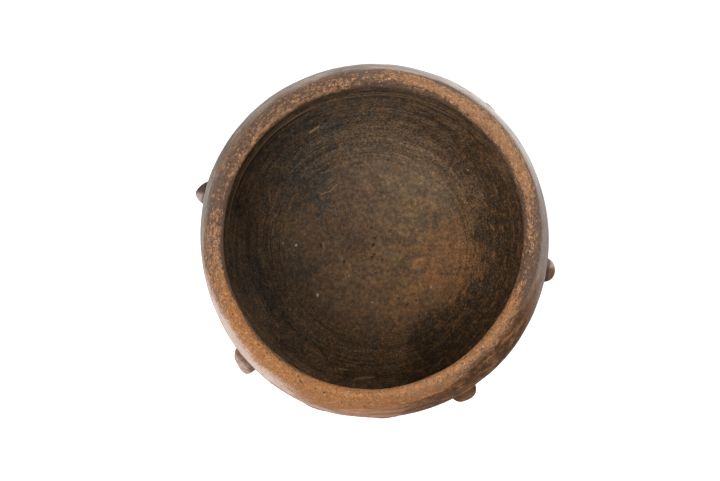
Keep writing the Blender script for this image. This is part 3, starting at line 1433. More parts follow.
class Board:
    """A node tree while it is wired."""

    def __init__(self, tree: bpy.types.NodeTree) -> None:
        """Works on a tree."""
        self.tree = tree

    @classmethod
    def emptied(cls, owner: Material | bpy.types.World) -> "Board":
        """Turns nodes on for a material or a world, and empties its tree.

        Args:
            owner: The material or the world.

        Returns:
            The board for its tree.
        """
        owner.use_nodes = True
        owner.node_tree.nodes.clear()
        return cls(owner.node_tree)

    def node(self, kind: str, feeds: Feeds | None = None, **settings: object) -> bpy.types.Node:
        """Adds a node.

        Args:
            kind: Its type, without what all types start with.
            feeds: What goes into its inputs, by name or number.
            settings: Its other settings.

        Returns:
            The node.
        """
        made = self.tree.nodes.new(f"ShaderNode{kind}")
        for name, value in settings.items():
            setattr(made, name, value)
        for name, value in (feeds or {}).items():
            self.feed(made.inputs[name], value)
        return made

    def feed(self, socket: Socket, value: Feed) -> None:
        """Links an output to an input, or sets the input to a number or a colour.

        Args:
            socket: The input.
            value: The output, the number or the colour.
        """
        if isinstance(value, Socket):
            self.tree.links.new(value, socket)
        elif socket.type == "RGBA":
            socket.default_value = (*value[:3], 1.0)
        else:
            socket.default_value = value

    def maths(self, operation: str, *numbers: Feed, clamp: bool = False) -> Socket:
        """The result of a sum on numbers."""
        return self.node("Math", dict(enumerate(numbers)), operation=operation, use_clamp=clamp).outputs[0]

    def times(self, *factors: Feed, clamp: bool = False) -> Socket:
        """The product of numbers, kept from 0 to 1 if it is clamped."""
        return reduce(lambda made, factor: self.maths("MULTIPLY", made, factor, clamp=clamp), factors)

    def total(self, *parts: tuple[Feed, float]) -> Socket:
        """The sum of numbers, each times its weight."""
        return reduce(lambda made, part: self.maths("MULTIPLY_ADD", *part, made), parts, 0.0)

    def vectors(self, operation: str, one: Feed, two: Feed, made: int | str = 0) -> Socket:
        """The result of a sum on two vectors, which is a vector, or a number if "Value" is made."""
        return self.node("VectorMath", {0: one, 1: two}, operation=operation).outputs[made]

    def scaled(self, vector: Feed, by: Feed) -> Socket:
        """A vector times a number."""
        return self.node("VectorMath", {0: vector, "Scale": by}, operation="SCALE").outputs[0]

    def shrunk(self, vector: Feed, by: Feed) -> Socket:
        """A vector divided by a number."""
        return self.scaled(vector, self.maths("DIVIDE", 1.0, by))

    def blend(self, share: Feed, low: Feed, high: Feed) -> Socket:
        """A colour between two others, by a share from 0 to 1."""
        return self.node("Mix", {0: share, 6: low, 7: high}, data_type="RGBA").outputs[2]

    def between(self, share: Feed, low: Feed, high: Feed) -> Socket:
        """A number between two others, by a share from 0 to 1."""
        return self.node("Mix", {0: share, 2: low, 3: high}, data_type="FLOAT").outputs[0]

    def tones(self, *tones: tuple[Feed, Feed, Feed]) -> Socket:
        """The product of tones, each given by its share from 0 to 1, its lowest and its highest."""
        return self.times(*(self.between(*tone) for tone in tones))

    def stained(self, colour: Feed, *stains: tuple[Feed, float, Feed]) -> Socket:
        """A colour under stains, each given by its mask, its strength and its colour."""
        return reduce(lambda under, it: self.blend(self.times(*it[:2]), under, it[2]), stains, colour)

    def step(self, value: Feed, low: Feed, high: Feed) -> Socket:
        """A soft step from 0 at low to 1 at high."""
        feeds = {0: value, 1: low, 2: high}
        return self.node("MapRange", feeds, interpolation_type="SMOOTHSTEP").outputs[0]

    def shaded(self, colour: Feed, tone: Feed) -> Socket:
        """A colour made darker or lighter by a number."""
        grey = self.node("CombineXYZ", {0: tone, 1: tone, 2: tone}).outputs[0]
        return self.vectors("MULTIPLY", colour, grey)

    def noise(self, place: Feed, detail: float = 2.0, rough: float = 0.55, seed: float = 0.0) -> Socket:
        """Noise with lumps of about size 1, mostly from 0 to 1."""
        feeds = {"Vector": place, "W": seed, "Scale": 1.0, "Detail": detail, "Roughness": rough}
        return self.node("TexNoise", feeds, noise_dimensions="4D").outputs[0]

    def stored(self, name: str) -> Socket:
        """A number that the mesh has at its points."""
        return self.node("Attribute", attribute_name=name).outputs["Fac"]

    def place(self) -> Socket:
        """The place on the piece, in millimetres."""
        return self.scaled(self.node("TexCoord").outputs["Object"], 1 / MM)


@dataclass(frozen=True)
class Port:
    """A named input or output of a shader node group."""

    name: str
    kind: str = "NodeSocketFloat"
    colour: Colour | None = None


PLACE = Port("Place", "NodeSocketVector")
LAY = Port("Lay")
MASKS = tuple(map(Port, ("Smoke", "Pale", "Gloss", "Warm", "Slip", "Pit")))


class ShaderGroup:
    """A shader node group that materials and other groups share. It is built when it is first placed."""

    name: str
    inputs: tuple[Port, ...]
    outputs: tuple[Port, ...]

    def wire(self, board: Board, given: Sockets) -> Sockets:
        """Wires the group."""
        raise NotImplementedError

    def tree(self) -> bpy.types.NodeTree:
        """Finds the group's tree, or builds it.

        Returns:
            The tree.
        """
        found = bpy.data.node_groups.get(self.name)
        if found is not None:
            return found
        tree = bpy.data.node_groups.new(self.name, "ShaderNodeTree")
        for port in self.inputs:
            socket = tree.interface.new_socket(port.name, in_out="INPUT", socket_type=port.kind)
            if port.colour:
                socket.default_value = (*port.colour, 1.0)
        for port in self.outputs:
            tree.interface.new_socket(port.name, in_out="OUTPUT", socket_type=port.kind)
        entry, leave = tree.nodes.new("NodeGroupInput"), tree.nodes.new("NodeGroupOutput")
        made = self.wire(Board(tree), {port.name: entry.outputs[port.name] for port in self.inputs})
        for name, socket in made.items():
            tree.links.new(socket, leave.inputs[name])
        return tree

    def placed(self, board: Board, *feeds: Feed, **named: Feed) -> Sockets:
        """Places the group in a tree.

        Args:
            board: The tree.
            feeds: What goes into its first inputs.
            named: What goes into others, by their names.

        Returns:
            Its outputs by name.
        """
        given = dict(zip((port.name for port in self.inputs), feeds)) | named
        node = board.node("Group", given, node_tree=self.tree())
        return {port.name: node.outputs[port.name] for port in self.outputs}


class SkinGroup(ShaderGroup):
    """A skin of clay. Its shades are colours that a material may change."""

    shades: dict[str, Colour]
    outputs = (Port("Color", "NodeSocketColor"), Port("Roughness"), Port("Coat"), Port("Height"))

    @property
    def inputs(self) -> tuple[Port, ...]:
        """The inputs of all skins, and one for each shade."""
        shades = (Port(name, "NodeSocketColor", shade) for name, shade in self.shades.items())
        return (PLACE, LAY, *MASKS, *shades)


class Clouds(ShaderGroup):
    """Soft mottling."""

    name = "clay_clouds"
    inputs = (PLACE, Port("Size"), Port("Seed"))
    outputs = (Port("Cloud"),)

    def wire(self, board: Board, given: Sockets) -> Sockets:
        """Wires noise whose contrast is raised."""
        place = board.shrunk(given["Place"], given["Size"])
        return {"Cloud": board.step(board.noise(place, 5.0, 0.62, given["Seed"]), 0.33, 0.67)}


class Strokes(ShaderGroup):
    """Streaks that run round the pot, as rubbing and wiping leave them."""

    name = "clay_strokes"
    inputs = (PLACE, LAY, Port("Length"), Port("Width"))
    outputs = (Port("Stroke"),)

    def wire(self, board: Board, given: Sockets) -> Sockets:
        """Wires noise that is drawn out round the pot.

        Args:
            board: The group's tree.
            given: Its inputs by name.

        Returns:
            Its outputs by name.
        """
        parts = board.node("SeparateXYZ", {0: given["Place"]}).outputs
        feeds = {
            0: board.maths("DIVIDE", parts[0], given["Length"]),
            1: board.maths("DIVIDE", parts[1], given["Length"]),
            2: board.maths("DIVIDE", given["Lay"], given["Width"]),
        }
        place = board.node("CombineXYZ", feeds).outputs[0]
        return {"Stroke": board.step(board.noise(place, 3.0, 0.6), 0.32, 0.68)}


def clouds(board: Board, place: Feed, size: float | Socket, seed: float = 0.0) -> Socket:
    """Places mottling with clouds of a size."""
    return Clouds().placed(board, place, size, seed)["Cloud"]


def strokes(board: Board, place: Feed, lay: Feed, length: float, width: float) -> Socket:
    """Places streaks of a length and a width."""
    return Strokes().placed(board, place, lay, length, width)["Stroke"]


class Scuffs(ShaderGroup):
    """Short strokes that run one way here and another way there."""

    name = "clay_scuffs"
    inputs = (PLACE, Port("Length"), Port("Width"), Port("Seed"))
    outputs = (Port("Scuff"),)

    def wire(self, board: Board, given: Sockets) -> Sockets:
        """Wires two sets of drawn-out noise that take turns.

        Args:
            board: The group's tree.
            given: Its inputs by name.

        Returns:
            Its outputs by name.
        """
        long, wide = (board.maths("DIVIDE", 1.0, given[name]) for name in ("Length", "Width"))
        stretch = board.node("CombineXYZ", {0: long, 1: wide, 2: wide}).outputs[0]
        sets = []
        for turn in (0.6, 2.3, 1.4):
            feeds = {"Vector": given["Place"], "Rotation": (0.0, 0.0, turn)}
            turned = board.node("VectorRotate", feeds, rotation_type="EULER_XYZ").outputs[0]
            drawn = board.vectors("MULTIPLY", turned, stretch)
            sets.append(board.noise(drawn, 3.0, 0.6, given["Seed"]))
        coarse = board.scaled(given["Place"], 0.045)
        turns = [board.noise(coarse, 1.0, 0.5, seed) for seed in (21.0, 22.0)]
        scuff = board.between(board.step(turns[0], 0.46, 0.54), sets[0], sets[1])
        scuff = board.between(board.step(turns[1], 0.5, 0.56), scuff, sets[2])
        return {"Scuff": board.step(scuff, 0.32, 0.68)}


class Dusting(ShaderGroup):
    """Pale dust that has caught on the grains of the clay."""

    name = "clay_dusting"
    inputs = (PLACE, Port("Share"))
    outputs = (Port("Dust"),)

    def wire(self, board: Board, given: Sockets) -> Sockets:
        """Wires fine and middling noise, cut off at a level that the share sets.

        Args:
            board: The group's tree.
            given: Its inputs by name.

        Returns:
            Its outputs by name.
        """
        fine = board.noise(board.scaled(given["Place"], 0.9), 3.0, 0.7, 31.0)
        patchy = board.noise(board.scaled(given["Place"], 0.16), 3.0, 0.6, 32.0)
        level = board.total((fine, 1.4), (patchy, 0.6), (given["Share"], 0.62))
        dust = board.step(level, 1.2, 1.72)
        return {"Dust": board.times(dust, board.step(given["Share"], 0.02, 0.3))}


class Grit(ShaderGroup):
    """Grains of mineral in the clay."""

    name = "clay_grit"
    inputs = (PLACE, Port("Size"), Port("Seed"))
    outputs = (Port("Dark"), Port("Chalk"), Port("Height"))

    def wire(self, board: Board, given: Sockets) -> Sockets:
        """Wires cells of which a few are grains.

        Args:
            board: The group's tree.
            given: Its inputs by name.

        Returns:
            Its outputs by name.
        """
        place = board.shrunk(given["Place"], given["Size"])
        feeds = {"Vector": place, "Scale": 1.3, "Detail": 1.0}
        bent = board.node("TexNoise", feeds).outputs["Color"]
        place = board.vectors("ADD", place, board.scaled(bent, 0.7))
        feeds = {"Vector": place, "W": given["Seed"], "Scale": 1.0}
        cells = board.node("TexVoronoi", feeds, voronoi_dimensions="4D").outputs
        chance = board.node("SeparateColor", {0: cells["Color"]}).outputs
        dot = board.step(cells["Distance"], 0.52, 0.28)
        dark = board.times(dot, board.step(chance[0], 0.66, 0.8))
        chalk = board.times(dot, board.step(chance[1], 0.88, 0.95))
        proud = board.times(dot, board.maths("SUBTRACT", chance[2], 0.55))
        return {"Dark": dark, "Chalk": chalk, "Height": proud}


DUST_SHADE = (0.7, 0.57, 0.5)


class BurnishedSkin(SkinGroup):
    """Clay rubbed with a pebble: streaked, and glossy where it was rubbed hard."""

    name = "clay_burnished"
    shades = {
        "Clay": (0.24, 0.12, 0.062),
        "Pale clay": (0.42, 0.235, 0.155),
        "Warm clay": (0.36, 0.16, 0.07),
        "Smoked clay": (0.118, 0.053, 0.022),
        "Grey clay": (0.2, 0.158, 0.128),
    }

    def wire(self, board: Board, given: Sockets) -> Sockets:
        """Wires the colours of the fire under streaks, scuffs and grains.

        Args:
            board: The group's tree.
            given: Its inputs by name.

        Returns:
            Its outputs by name.
        """
        place, lay = given["Place"], given["Lay"]
        wide, small = clouds(board, place, 24.0), clouds(board, place, 6.0, 3.0)
        blotch, fine = clouds(board, place, 9.0, 14.0), clouds(board, place, 1.2, 12.0)
        streak, broad = strokes(board, place, lay, 26.0, 1.3), strokes(board, place, lay, 34.0, 6.0)
        sheen = strokes(board, place, lay, 50.0, 2.6)
        scuff = Scuffs().placed(board, place, 9.0, 1.1, 5.0)["Scuff"]
        grit = Grit().placed(board, place, 1.4)
        dust = Dusting().placed(board, place, given["Pale"])["Dust"]
        shift = board.total((wide, 0.42), (small, 0.42), (1.0, -0.42))
        colour = given["Clay"]
        for mask, shade in (("Warm", "Warm clay"), ("Pale", "Pale clay"), ("Slip", "Grey clay"),
                            ("Smoke", "Smoked clay")):
            strength = board.step(board.maths("ADD", given[mask], shift), 0.1, 0.9)
            colour = board.blend(strength, colour, given[shade])
        burnt = board.times(board.step(blotch, 0.5, 0.95), given["Smoke"])
        charred = board.times(board.step(blotch, 0.45, 0.1), given["Smoke"])
        tone = board.tones((streak, 0.76, 1.22), (broad, 0.76, 1.2), (small, 0.84, 1.16), (charred, 1.0, 0.6),
                           (fine, 0.78, 1.22), (scuff, 0.93, 1.08))
        colour = board.shaded(board.stained(colour, (burnt, 0.72, (0.29, 0.13, 0.05))), tone)
        colour = board.stained(
            colour,
            (grit["Dark"], 0.5, (0.055, 0.028, 0.018)), (grit["Chalk"], 0.4, (0.5, 0.37, 0.28)),
            (dust, 0.8, DUST_SHADE), (board.step(given["Pit"], 0.15, 0.6), 1.0, (0.07, 0.034, 0.02)),
        )
        rough = board.total((given["Gloss"], -0.46), (1.0, 0.82), (streak, 0.07), (fine, 0.07))
        coat = board.tones((sheen, 0.25, 1.0), (broad, 0.3, 1.1))
        coat = board.times(given["Gloss"], coat, clamp=True)
        parts = ((streak, 0.04), (broad, 0.06), (fine, 0.035), (scuff, 0.02), (grit["Height"], 0.07))
        return {"Color": colour, "Roughness": rough, "Coat": coat, "Height": board.total(*parts)}


class GrittySkin(SkinGroup):
    """Clay left as the fingers shaped it, with its grit standing proud and a dark skin half worn off."""

    name = "clay_gritty"
    shades = {
        "Clay": (0.36, 0.19, 0.095),
        "Warm clay": (0.385, 0.165, 0.06),
        "Worn clay": (0.62, 0.32, 0.16),
        "Slip dark": (0.085, 0.055, 0.043),
        "Slip brown": (0.12, 0.056, 0.026),
    }

    def wire(self, board: Board, given: Sockets) -> Sockets:
        """Wires mottled clay and its dark remains under coarse and fine grit.

        Args:
            board: The group's tree.
            given: Its inputs by name.

        Returns:
            Its outputs by name.
        """
        place, lay = given["Place"], given["Lay"]
        small, fine = clouds(board, place, 5.0, 8.0), clouds(board, place, 1.0, 2.0)
        worn, wiped = clouds(board, place, 2.6, 15.0), strokes(board, place, lay, 14.0, 1.0)
        lumps = board.noise(board.shrunk(place, 3.1), 5.0, 0.68, 17.0)
        run = strokes(board, place, lay, 9.0, 1.5)
        flakes = board.step(board.total((lumps, 0.8), (run, 0.12), (given["Slip"], 0.3)), 0.56, 0.66)
        coarse, sand = Grit().placed(board, place, 1.9, 4.0), Grit().placed(board, place, 1.0, 9.0)
        dust = Dusting().placed(board, place, given["Pale"])["Dust"]
        warm = board.total((given["Warm"], 1.0), (small, 0.6), (1.0, -0.3))
        colour = board.blend(board.step(warm, 0.1, 0.9), given["Clay"], given["Warm clay"])
        bare = board.times(board.step(worn, 0.62, 0.88), board.between(given["Slip"], 0.35, 1.3), clamp=True)
        tone = board.tones((small, 0.82, 1.14), (fine, 0.7, 1.22), (wiped, 0.88, 1.1))
        colour = board.shaded(board.blend(bare, colour, given["Worn clay"]), tone)
        slip = board.blend(given["Smoke"], given["Slip dark"], given["Slip brown"])
        slip = board.shaded(slip, board.between(fine, 0.6, 1.6))
        colour = board.stained(
            colour,
            (flakes, 0.86, slip),
            (coarse["Dark"], 0.72, (0.085, 0.04, 0.024)), (sand["Dark"], 0.62, (0.1, 0.05, 0.03)),
            (coarse["Chalk"], 0.7, (0.66, 0.44, 0.3)), (sand["Chalk"], 0.55, (0.6, 0.38, 0.24)),
            (dust, 0.8, DUST_SHADE), (board.step(given["Pit"], 0.12, 0.7), 1.0, (0.11, 0.052, 0.03)),
        )
        height = board.total((fine, 0.2), (coarse["Height"], 0.34), (sand["Height"], 0.16), (wiped, 0.07),
                             (coarse["Dark"], -0.16), (flakes, 0.14))
        rough, coat = board.between(flakes, 0.93, 0.66), board.times(given["Pale"], 0.2)
        return {"Color": colour, "Roughness": rough, "Coat": coat, "Height": height}


class SmokedSkin(SkinGroup):
    """Clay of the hollow: wiped round its walls, scraped every way on its floor, and darkened by smoke."""

    name = "clay_smoked"
    shades = {
        "Clay": (0.16, 0.092, 0.048),
        "Pale clay": (0.225, 0.14, 0.074),
        "Warm clay": (0.255, 0.118, 0.044),
        "Smoked clay": (0.056, 0.032, 0.015),
        "Grey smoke": (0.06, 0.048, 0.037),
    }

    def wire(self, board: Board, given: Sockets) -> Sockets:
        """Wires smoke clouds under wiping streaks, scuffs, speckles and fine pits.

        Args:
            board: The group's tree.
            given: Its inputs by name.

        Returns:
            Its outputs by name.
        """
        place, lay = given["Place"], given["Lay"]
        wide, blotch = clouds(board, place, 30.0, 7.0), clouds(board, place, 12.0, 16.0)
        rust, small, fine = (clouds(board, place, *cloud) for cloud in ((5.5, 18.0), (3.4, 1.0), (1.6, 6.0)))
        scuff = Scuffs().placed(board, place, 6.0, 2.2)["Scuff"]
        grit = Grit().placed(board, place, 1.6, 11.0)
        floor = board.step(lay, 452.0, 486.0)
        streak = board.between(floor, strokes(board, place, lay, 46.0, 1.5), small)
        broad = board.between(floor, strokes(board, place, lay, 60.0, 5.0), blotch)
        shift = board.total((wide, 0.5), (blotch, 0.5), (1.0, -0.5))
        colour = given["Clay"]
        smoke = board.blend(given["Slip"], given["Smoked clay"], given["Grey smoke"])
        for mask, clay in (("Warm", given["Warm clay"]), ("Pale", given["Pale clay"]), ("Smoke", smoke)):
            strength = board.step(board.maths("ADD", given[mask], shift), 0.06, 0.94)
            colour = board.blend(strength, colour, clay)
        plain = board.tones((given["Smoke"], 0.6, 0.15), (given["Warm"], 1.0, 0.15))
        for size, seed, shade in ((17.0, 23.0, (0.115, 0.084, 0.06)), (13.0, 27.0, (0.17, 0.112, 0.048))):
            veil = board.times(board.step(clouds(board, place, size, seed), 0.45, 0.95), plain)
            colour = board.blend(veil, colour, shade)
        specks = board.times(board.step(fine, 0.72, 1.0), board.step(rust, 0.55, 0.2))
        colour = board.stained(
            colour,
            (board.step(rust, 0.58, 0.95), 0.5, given["Warm clay"]), (specks, 0.4, (0.2, 0.165, 0.13)),
            (given["Slip"], 0.25, (0.1, 0.084, 0.068)),
        )
        tone = board.tones(
            (streak, board.between(floor, 0.68, 0.8), 1.24), (broad, board.between(floor, 0.76, 0.84), 1.16),
            (small, board.between(floor, 0.74, 0.82), 1.18), (board.step(scuff, 0.72, 1.0), 0.97, 1.28),
            (fine, board.between(floor, 0.48, 0.87), board.between(floor, 1.58, 1.13)),
        )
        colour = board.stained(
            board.shaded(colour, tone),
            (grit["Dark"], 0.45, (0.03, 0.018, 0.012)), (grit["Chalk"], 0.4, (0.36, 0.25, 0.16)),
            (board.step(given["Pit"], 0.12, 0.5), 1.0, (0.035, 0.02, 0.014)),
            (board.step(given["Pit"], -0.1, -0.4), 0.65, (0.27, 0.17, 0.08)),
        )
        rough, coat = board.between(small, 0.56, 0.74), board.times(given["Pale"], 0.02)
        height = board.total((streak, 0.05), (fine, 0.05), (small, 0.05), (grit["Height"], 0.12))
        return {"Color": colour, "Roughness": rough, "Coat": coat, "Height": height}


class LineMark(ShaderGroup):
    """A thin mark, seen from above, on a straight line between two places, of a scratch or a crack."""

    name = "clay_line"
    inputs = (PLACE, Port("Start", "NodeSocketVector"), Port("End", "NodeSocketVector"), Port("Width"),
              Port("Stray"))
    outputs = (Port("Mask"),)

    def wire(self, board: Board, given: Sockets) -> Sockets:
        """Wires the distance to the line, with the place moved a little by noise.

        Args:
            board: The group's tree.
            given: Its inputs by name.

        Returns:
            Its outputs by name.
        """
        feeds = {"Vector": board.scaled(given["Place"], 0.25), "Scale": 1.0, "Detail": 2.0}
        bent = board.node("TexNoise", feeds).outputs["Color"]
        bent = board.vectors("SUBTRACT", bent, (0.5, 0.5, 0.5))
        place = board.vectors("ADD", given["Place"], board.scaled(bent, given["Stray"]))
        place = board.vectors("MULTIPLY", place, (1.0, 1.0, 0.0))
        line = board.vectors("SUBTRACT", given["End"], given["Start"])
        way = board.vectors("SUBTRACT", place, given["Start"])
        full = board.vectors("DOT_PRODUCT", line, line, "Value")
        part = board.vectors("DOT_PRODUCT", way, line, "Value")
        share = board.maths("DIVIDE", part, full, clamp=True)
        far = board.vectors("DISTANCE", way, board.scaled(line, share), "Value")
        return {"Mask": board.step(board.maths("DIVIDE", far, given["Width"]), 1.0, 0.35)}


@dataclass(frozen=True)
class LineOnClay:
    """A line in the hollow, of a crack, a scratch or a speck of chalk.

    Its route is a run of places, each the direction and the distance from the middle of the pot.
    """

    route: tuple[Pair, ...]
    width: float
    shade: Colour
    strength: float
    depth: float
    stray: float

    def places(self) -> list[Point]:
        """The route's places, laid flat."""
        turns = [(math.radians(direction), reach) for direction, reach in self.route]
        return [(reach * math.cos(turn), reach * math.sin(turn), 0.0) for turn, reach in turns]


SEAM_SHADE = (0.085, 0.036, 0.022)
CRACK_SHADE = (0.012, 0.008, 0.006)
SCRATCH_SHADE = (0.42, 0.24, 0.12)
CHALK_SHADE = (0.62, 0.6, 0.52)
CHIP_SHADE = (0.72, 0.33, 0.11)
HOLLOW_LINES = rows_of(
    LineOnClay,
    (((230, 105), (247, 104), (252, 107), (256, 112), (260, 116)), 0.8, CRACK_SHADE, 0.55, 0.4, 5.0),
    (((127.5, 117), (122.5, 118)), 1.0, SCRATCH_SHADE, 0.9, 0.25, 0.8),
    (((143, 68), (136, 65), (128, 66)), 0.9, SCRATCH_SHADE, 0.5, 0.2, 2.0),
    (((309, 120), (306, 122), (302, 123)), 0.6, SCRATCH_SHADE, 0.4, 0.2, 2.4),
    (((160, 108), (166, 101)), 0.8, SCRATCH_SHADE, 0.4, 0.2, 2.0),
    (((176, 96), (170, 94)), 0.8, SCRATCH_SHADE, 0.45, 0.2, 2.0),
    (((262, 116), (266, 115)), 0.9, SCRATCH_SHADE, 0.6, 0.2, 1.2),
    (((270, 121), (278, 119)), 1.0, SCRATCH_SHADE, 0.6, 0.2, 2.6),
    (((187, 71), (186.5, 70.5)), 1.3, CHALK_SHADE, 0.9, -0.2, 0.3),
    (((229, 68), (228.5, 67.5)), 1.5, CHALK_SHADE, 0.8, -0.2, 0.3),
    (((186, 83), (185.5, 82.5)), 0.8, CHALK_SHADE, 0.5, -0.2, 0.3),
    (((276, 51), (278, 51)), 0.8, CHALK_SHADE, 0.4, -0.1, 0.3),
    (((46, 110), (46.5, 109.5)), 0.8, CHIP_SHADE, 0.5, 0.2, 0.4),
    (((332, 65), (333, 64.5)), 1.0, CHIP_SHADE, 0.7, 0.2, 0.6),
)


@dataclass(frozen=True)
class ClayFinish:
    """What all the clay finishes share: masks read from the mesh, and a shader for clay."""

    name: str
    skin: SkinGroup = BurnishedSkin()
    shine: float = 0.12
    coat_roughness: float = 0.3

    def skins(self, board: Board) -> Sockets:
        """Wires what the shader is fed with, which is one skin unless a finish has more."""
        return self.skin.placed(board, **self.masks(board))

    def masks(self, board: Board) -> Sockets:
        """The inputs that all skins take."""
        stored = {port.name: board.stored(port.name.lower()) for port in MASKS}
        return {"Place": board.place(), "Lay": board.stored("lay"), **stored}

    def mixed(self, board: Board, share: Feed, one: Sockets, two: Sockets) -> Sockets:
        """One skin that gives way to another."""
        made = {name: board.between(share, one[name], two[name]) for name in ("Roughness", "Coat", "Height")}
        return {"Color": board.blend(share, one["Color"], two["Color"]), **made}

    def edge(self, board: Board, place: Feed, value: Feed, width: float) -> Socket:
        """A ragged edge where a stored distance passes zero.

        Args:
            board: The material's tree.
            place: The place.
            value: The distance, which is positive on the far side.
            width: How wide the edge is.

        Returns:
            0 on the near side and 1 on the far side.
        """
        ragged = board.noise(board.scaled(place, 0.36), 4.0, 0.68, 2.0)
        moved = board.maths("ADD", value, board.times(board.maths("SUBTRACT", ragged, 0.5), 5.0 * width))
        return board.step(moved, -width, width)

    def make(self) -> Material:
        """Makes the material.

        Returns:
            The material.
        """
        material = bpy.data.materials.new(self.name)
        board = Board.emptied(material)
        skin = self.skins(board)
        bump = board.node("Bump", {"Height": skin["Height"], "Distance": MM}).outputs[0]
        feeds = {
            "Base Color": skin["Color"],
            "Roughness": skin["Roughness"],
            "Coat Weight": skin["Coat"],
            "Coat Roughness": self.coat_roughness,
            "Specular IOR Level": self.shine,
            "Normal": bump,
        }
        shader = board.node("BsdfPrincipled", feeds)
        board.node("OutputMaterial", {"Surface": shader.outputs[0]})
        return material


@dataclass(frozen=True)
class OutsideFinish(ClayFinish):
    """The rubbed outside."""

    name: str = "outside_clay"


@dataclass(frozen=True)
class LipFinish(ClayFinish):
    """The lip: rubbed below a crisp line on the shoulder, gritty over the crest, smoked inside."""

    name: str = "lip_clay"
    others: tuple[SkinGroup, SkinGroup] = (GrittySkin(), SmokedSkin())

    def skins(self, board: Board) -> Sockets:
        """Wires the three skins and the lines where they meet.

        Args:
            board: The material's tree.

        Returns:
            What feeds the shader, by name.
        """
        masks = self.masks(board)
        place = masks["Place"]
        rubbed, gritty, smoked = (group.placed(board, **masks) for group in (self.skin, *self.others))
        distance = board.stored("rubbed")
        skin = self.mixed(board, self.edge(board, place, distance, 0.7), gritty, rubbed)
        seam = board.step(board.maths("ABSOLUTE", board.maths("ADD", distance, 0.4)), 1.6, 0.2)
        broken = board.noise(board.scaled(place, 0.2), 3.0, 0.6, 4.0)
        plain = board.step(masks["Pale"], 0.3, 0.05)
        seam = board.times(seam, board.step(broken, 0.4, 0.58), plain, board.stored("seam"))
        chip = board.times(board.stored("chip"), board.step(board.noise(place, 2.0, 0.6), 0.35, 0.6))
        skin["Color"] = board.stained(skin["Color"], (seam, 0.7, SEAM_SHADE), (chip, 1.0, CHIP_SHADE))
        skin["Height"] = board.total((skin["Height"], 1.0), (chip, -0.3))
        return self.mixed(board, self.edge(board, place, board.stored("smoked"), 3.2), skin, smoked)


@dataclass(frozen=True)
class HollowFinish(ClayFinish):
    """The hollow, with its crack and scratches."""

    name: str = "hollow_clay"
    skin: SkinGroup = SmokedSkin()
    shine: float = 0.16
    lines: tuple[LineOnClay, ...] = HOLLOW_LINES

    def skins(self, board: Board) -> Sockets:
        """Wires the smoked skin and the lines on it.

        Args:
            board: The material's tree.

        Returns:
            What feeds the shader, by name.
        """
        masks = self.masks(board)
        skin = self.skin.placed(board, **masks)
        for line in self.lines:
            places = line.places()
            for ends in zip(places, places[1:]):
                mark = LineMark().placed(board, masks["Place"], *ends, line.width, line.stray)["Mask"]
                mark = board.times(mark, line.strength)
                skin["Color"] = board.blend(mark, skin["Color"], line.shade)
                skin["Height"] = board.total((skin["Height"], 1.0), (mark, -line.depth))
        return skin


@dataclass(frozen=True)
class PressedFinish(ClayFinish):
    """The lugs and the face: redder clay, greyed where fire and hands reached their tops."""

    name: str = "pressed_clay"

    def skins(self, board: Board) -> Sockets:
        """Wires the rubbed skin, grey on top and dull in the creases.

        Args:
            board: The material's tree.

        Returns:
            What feeds the shader, by name.
        """
        masks = self.masks(board)
        clays = {
            "Clay": (0.25, 0.115, 0.058),
            "Pale clay": (0.37, 0.27, 0.21),
            "Warm clay": (0.37, 0.16, 0.07),
            "Smoked clay": (0.185, 0.1, 0.05),
            "Grey clay": (0.16, 0.125, 0.105),
        }
        skin = self.skin.placed(board, **masks, **clays)
        normal = board.node("NewGeometry").outputs["Normal"]
        up = board.node("SeparateXYZ", {0: normal}).outputs[2]
        raised = board.stored("raised")
        grey = clouds(board, masks["Place"], 5.0, 13.0)
        ash = board.times(board.stored("ash"), board.between(grey, 0.7, 1.2), clamp=True)
        top = board.times(board.step(up, -0.1, 0.5), board.step(raised, 3.0, 10.0))
        dust = board.times(board.stored("dust"), top, board.between(grey, 0.6, 1.1))
        dust = Dusting().placed(board, masks["Place"], dust)["Dust"]
        crease = board.times(board.step(raised, 10.6, 8.4), board.step(up, 0.3, 0.7))
        crease = board.maths("MAXIMUM", board.step(raised, 0.9, 0.0), crease)
        skin["Color"] = board.stained(
            skin["Color"],
            (ash, 1.0, (0.07, 0.052, 0.042)), (dust, 0.85, (0.5, 0.42, 0.37)),
            (crease, 0.6, (0.07, 0.035, 0.02)),
        )
        skin["Coat"] = board.times(skin["Coat"], 0.5)
        return skin


@dataclass(frozen=True)
class JointFinish(ClayFinish):
    """Raw clay where two coils meet, which nothing shows."""

    name: str = "joint_clay"
    skin: SkinGroup = GrittySkin()


@dataclass(frozen=True)
class Softbox:
    """A soft lamp that faces the pot."""

    name: str
    azimuth: float
    elevation: float
    distance: float
    size: Pair
    power: float

    def build(self) -> None:
        """Makes the lamp."""
        lamp = bpy.data.lights.new(self.name, "AREA")
        lamp.shape = "RECTANGLE"
        lamp.size, lamp.size_y = self.size
        lamp.energy = self.power
        azimuth, elevation = math.radians(self.azimuth), math.radians(self.elevation)
        flat = math.cos(elevation)
        away = Vector((flat * math.cos(azimuth), flat * math.sin(azimuth), math.sin(elevation)))
        made = new_object(self.name, lamp)
        made.location = Vector((0, 0, 0.1)) + away * self.distance
        made.rotation_euler = away.to_track_quat("Z", "Y").to_euler()
        made.visible_camera = False


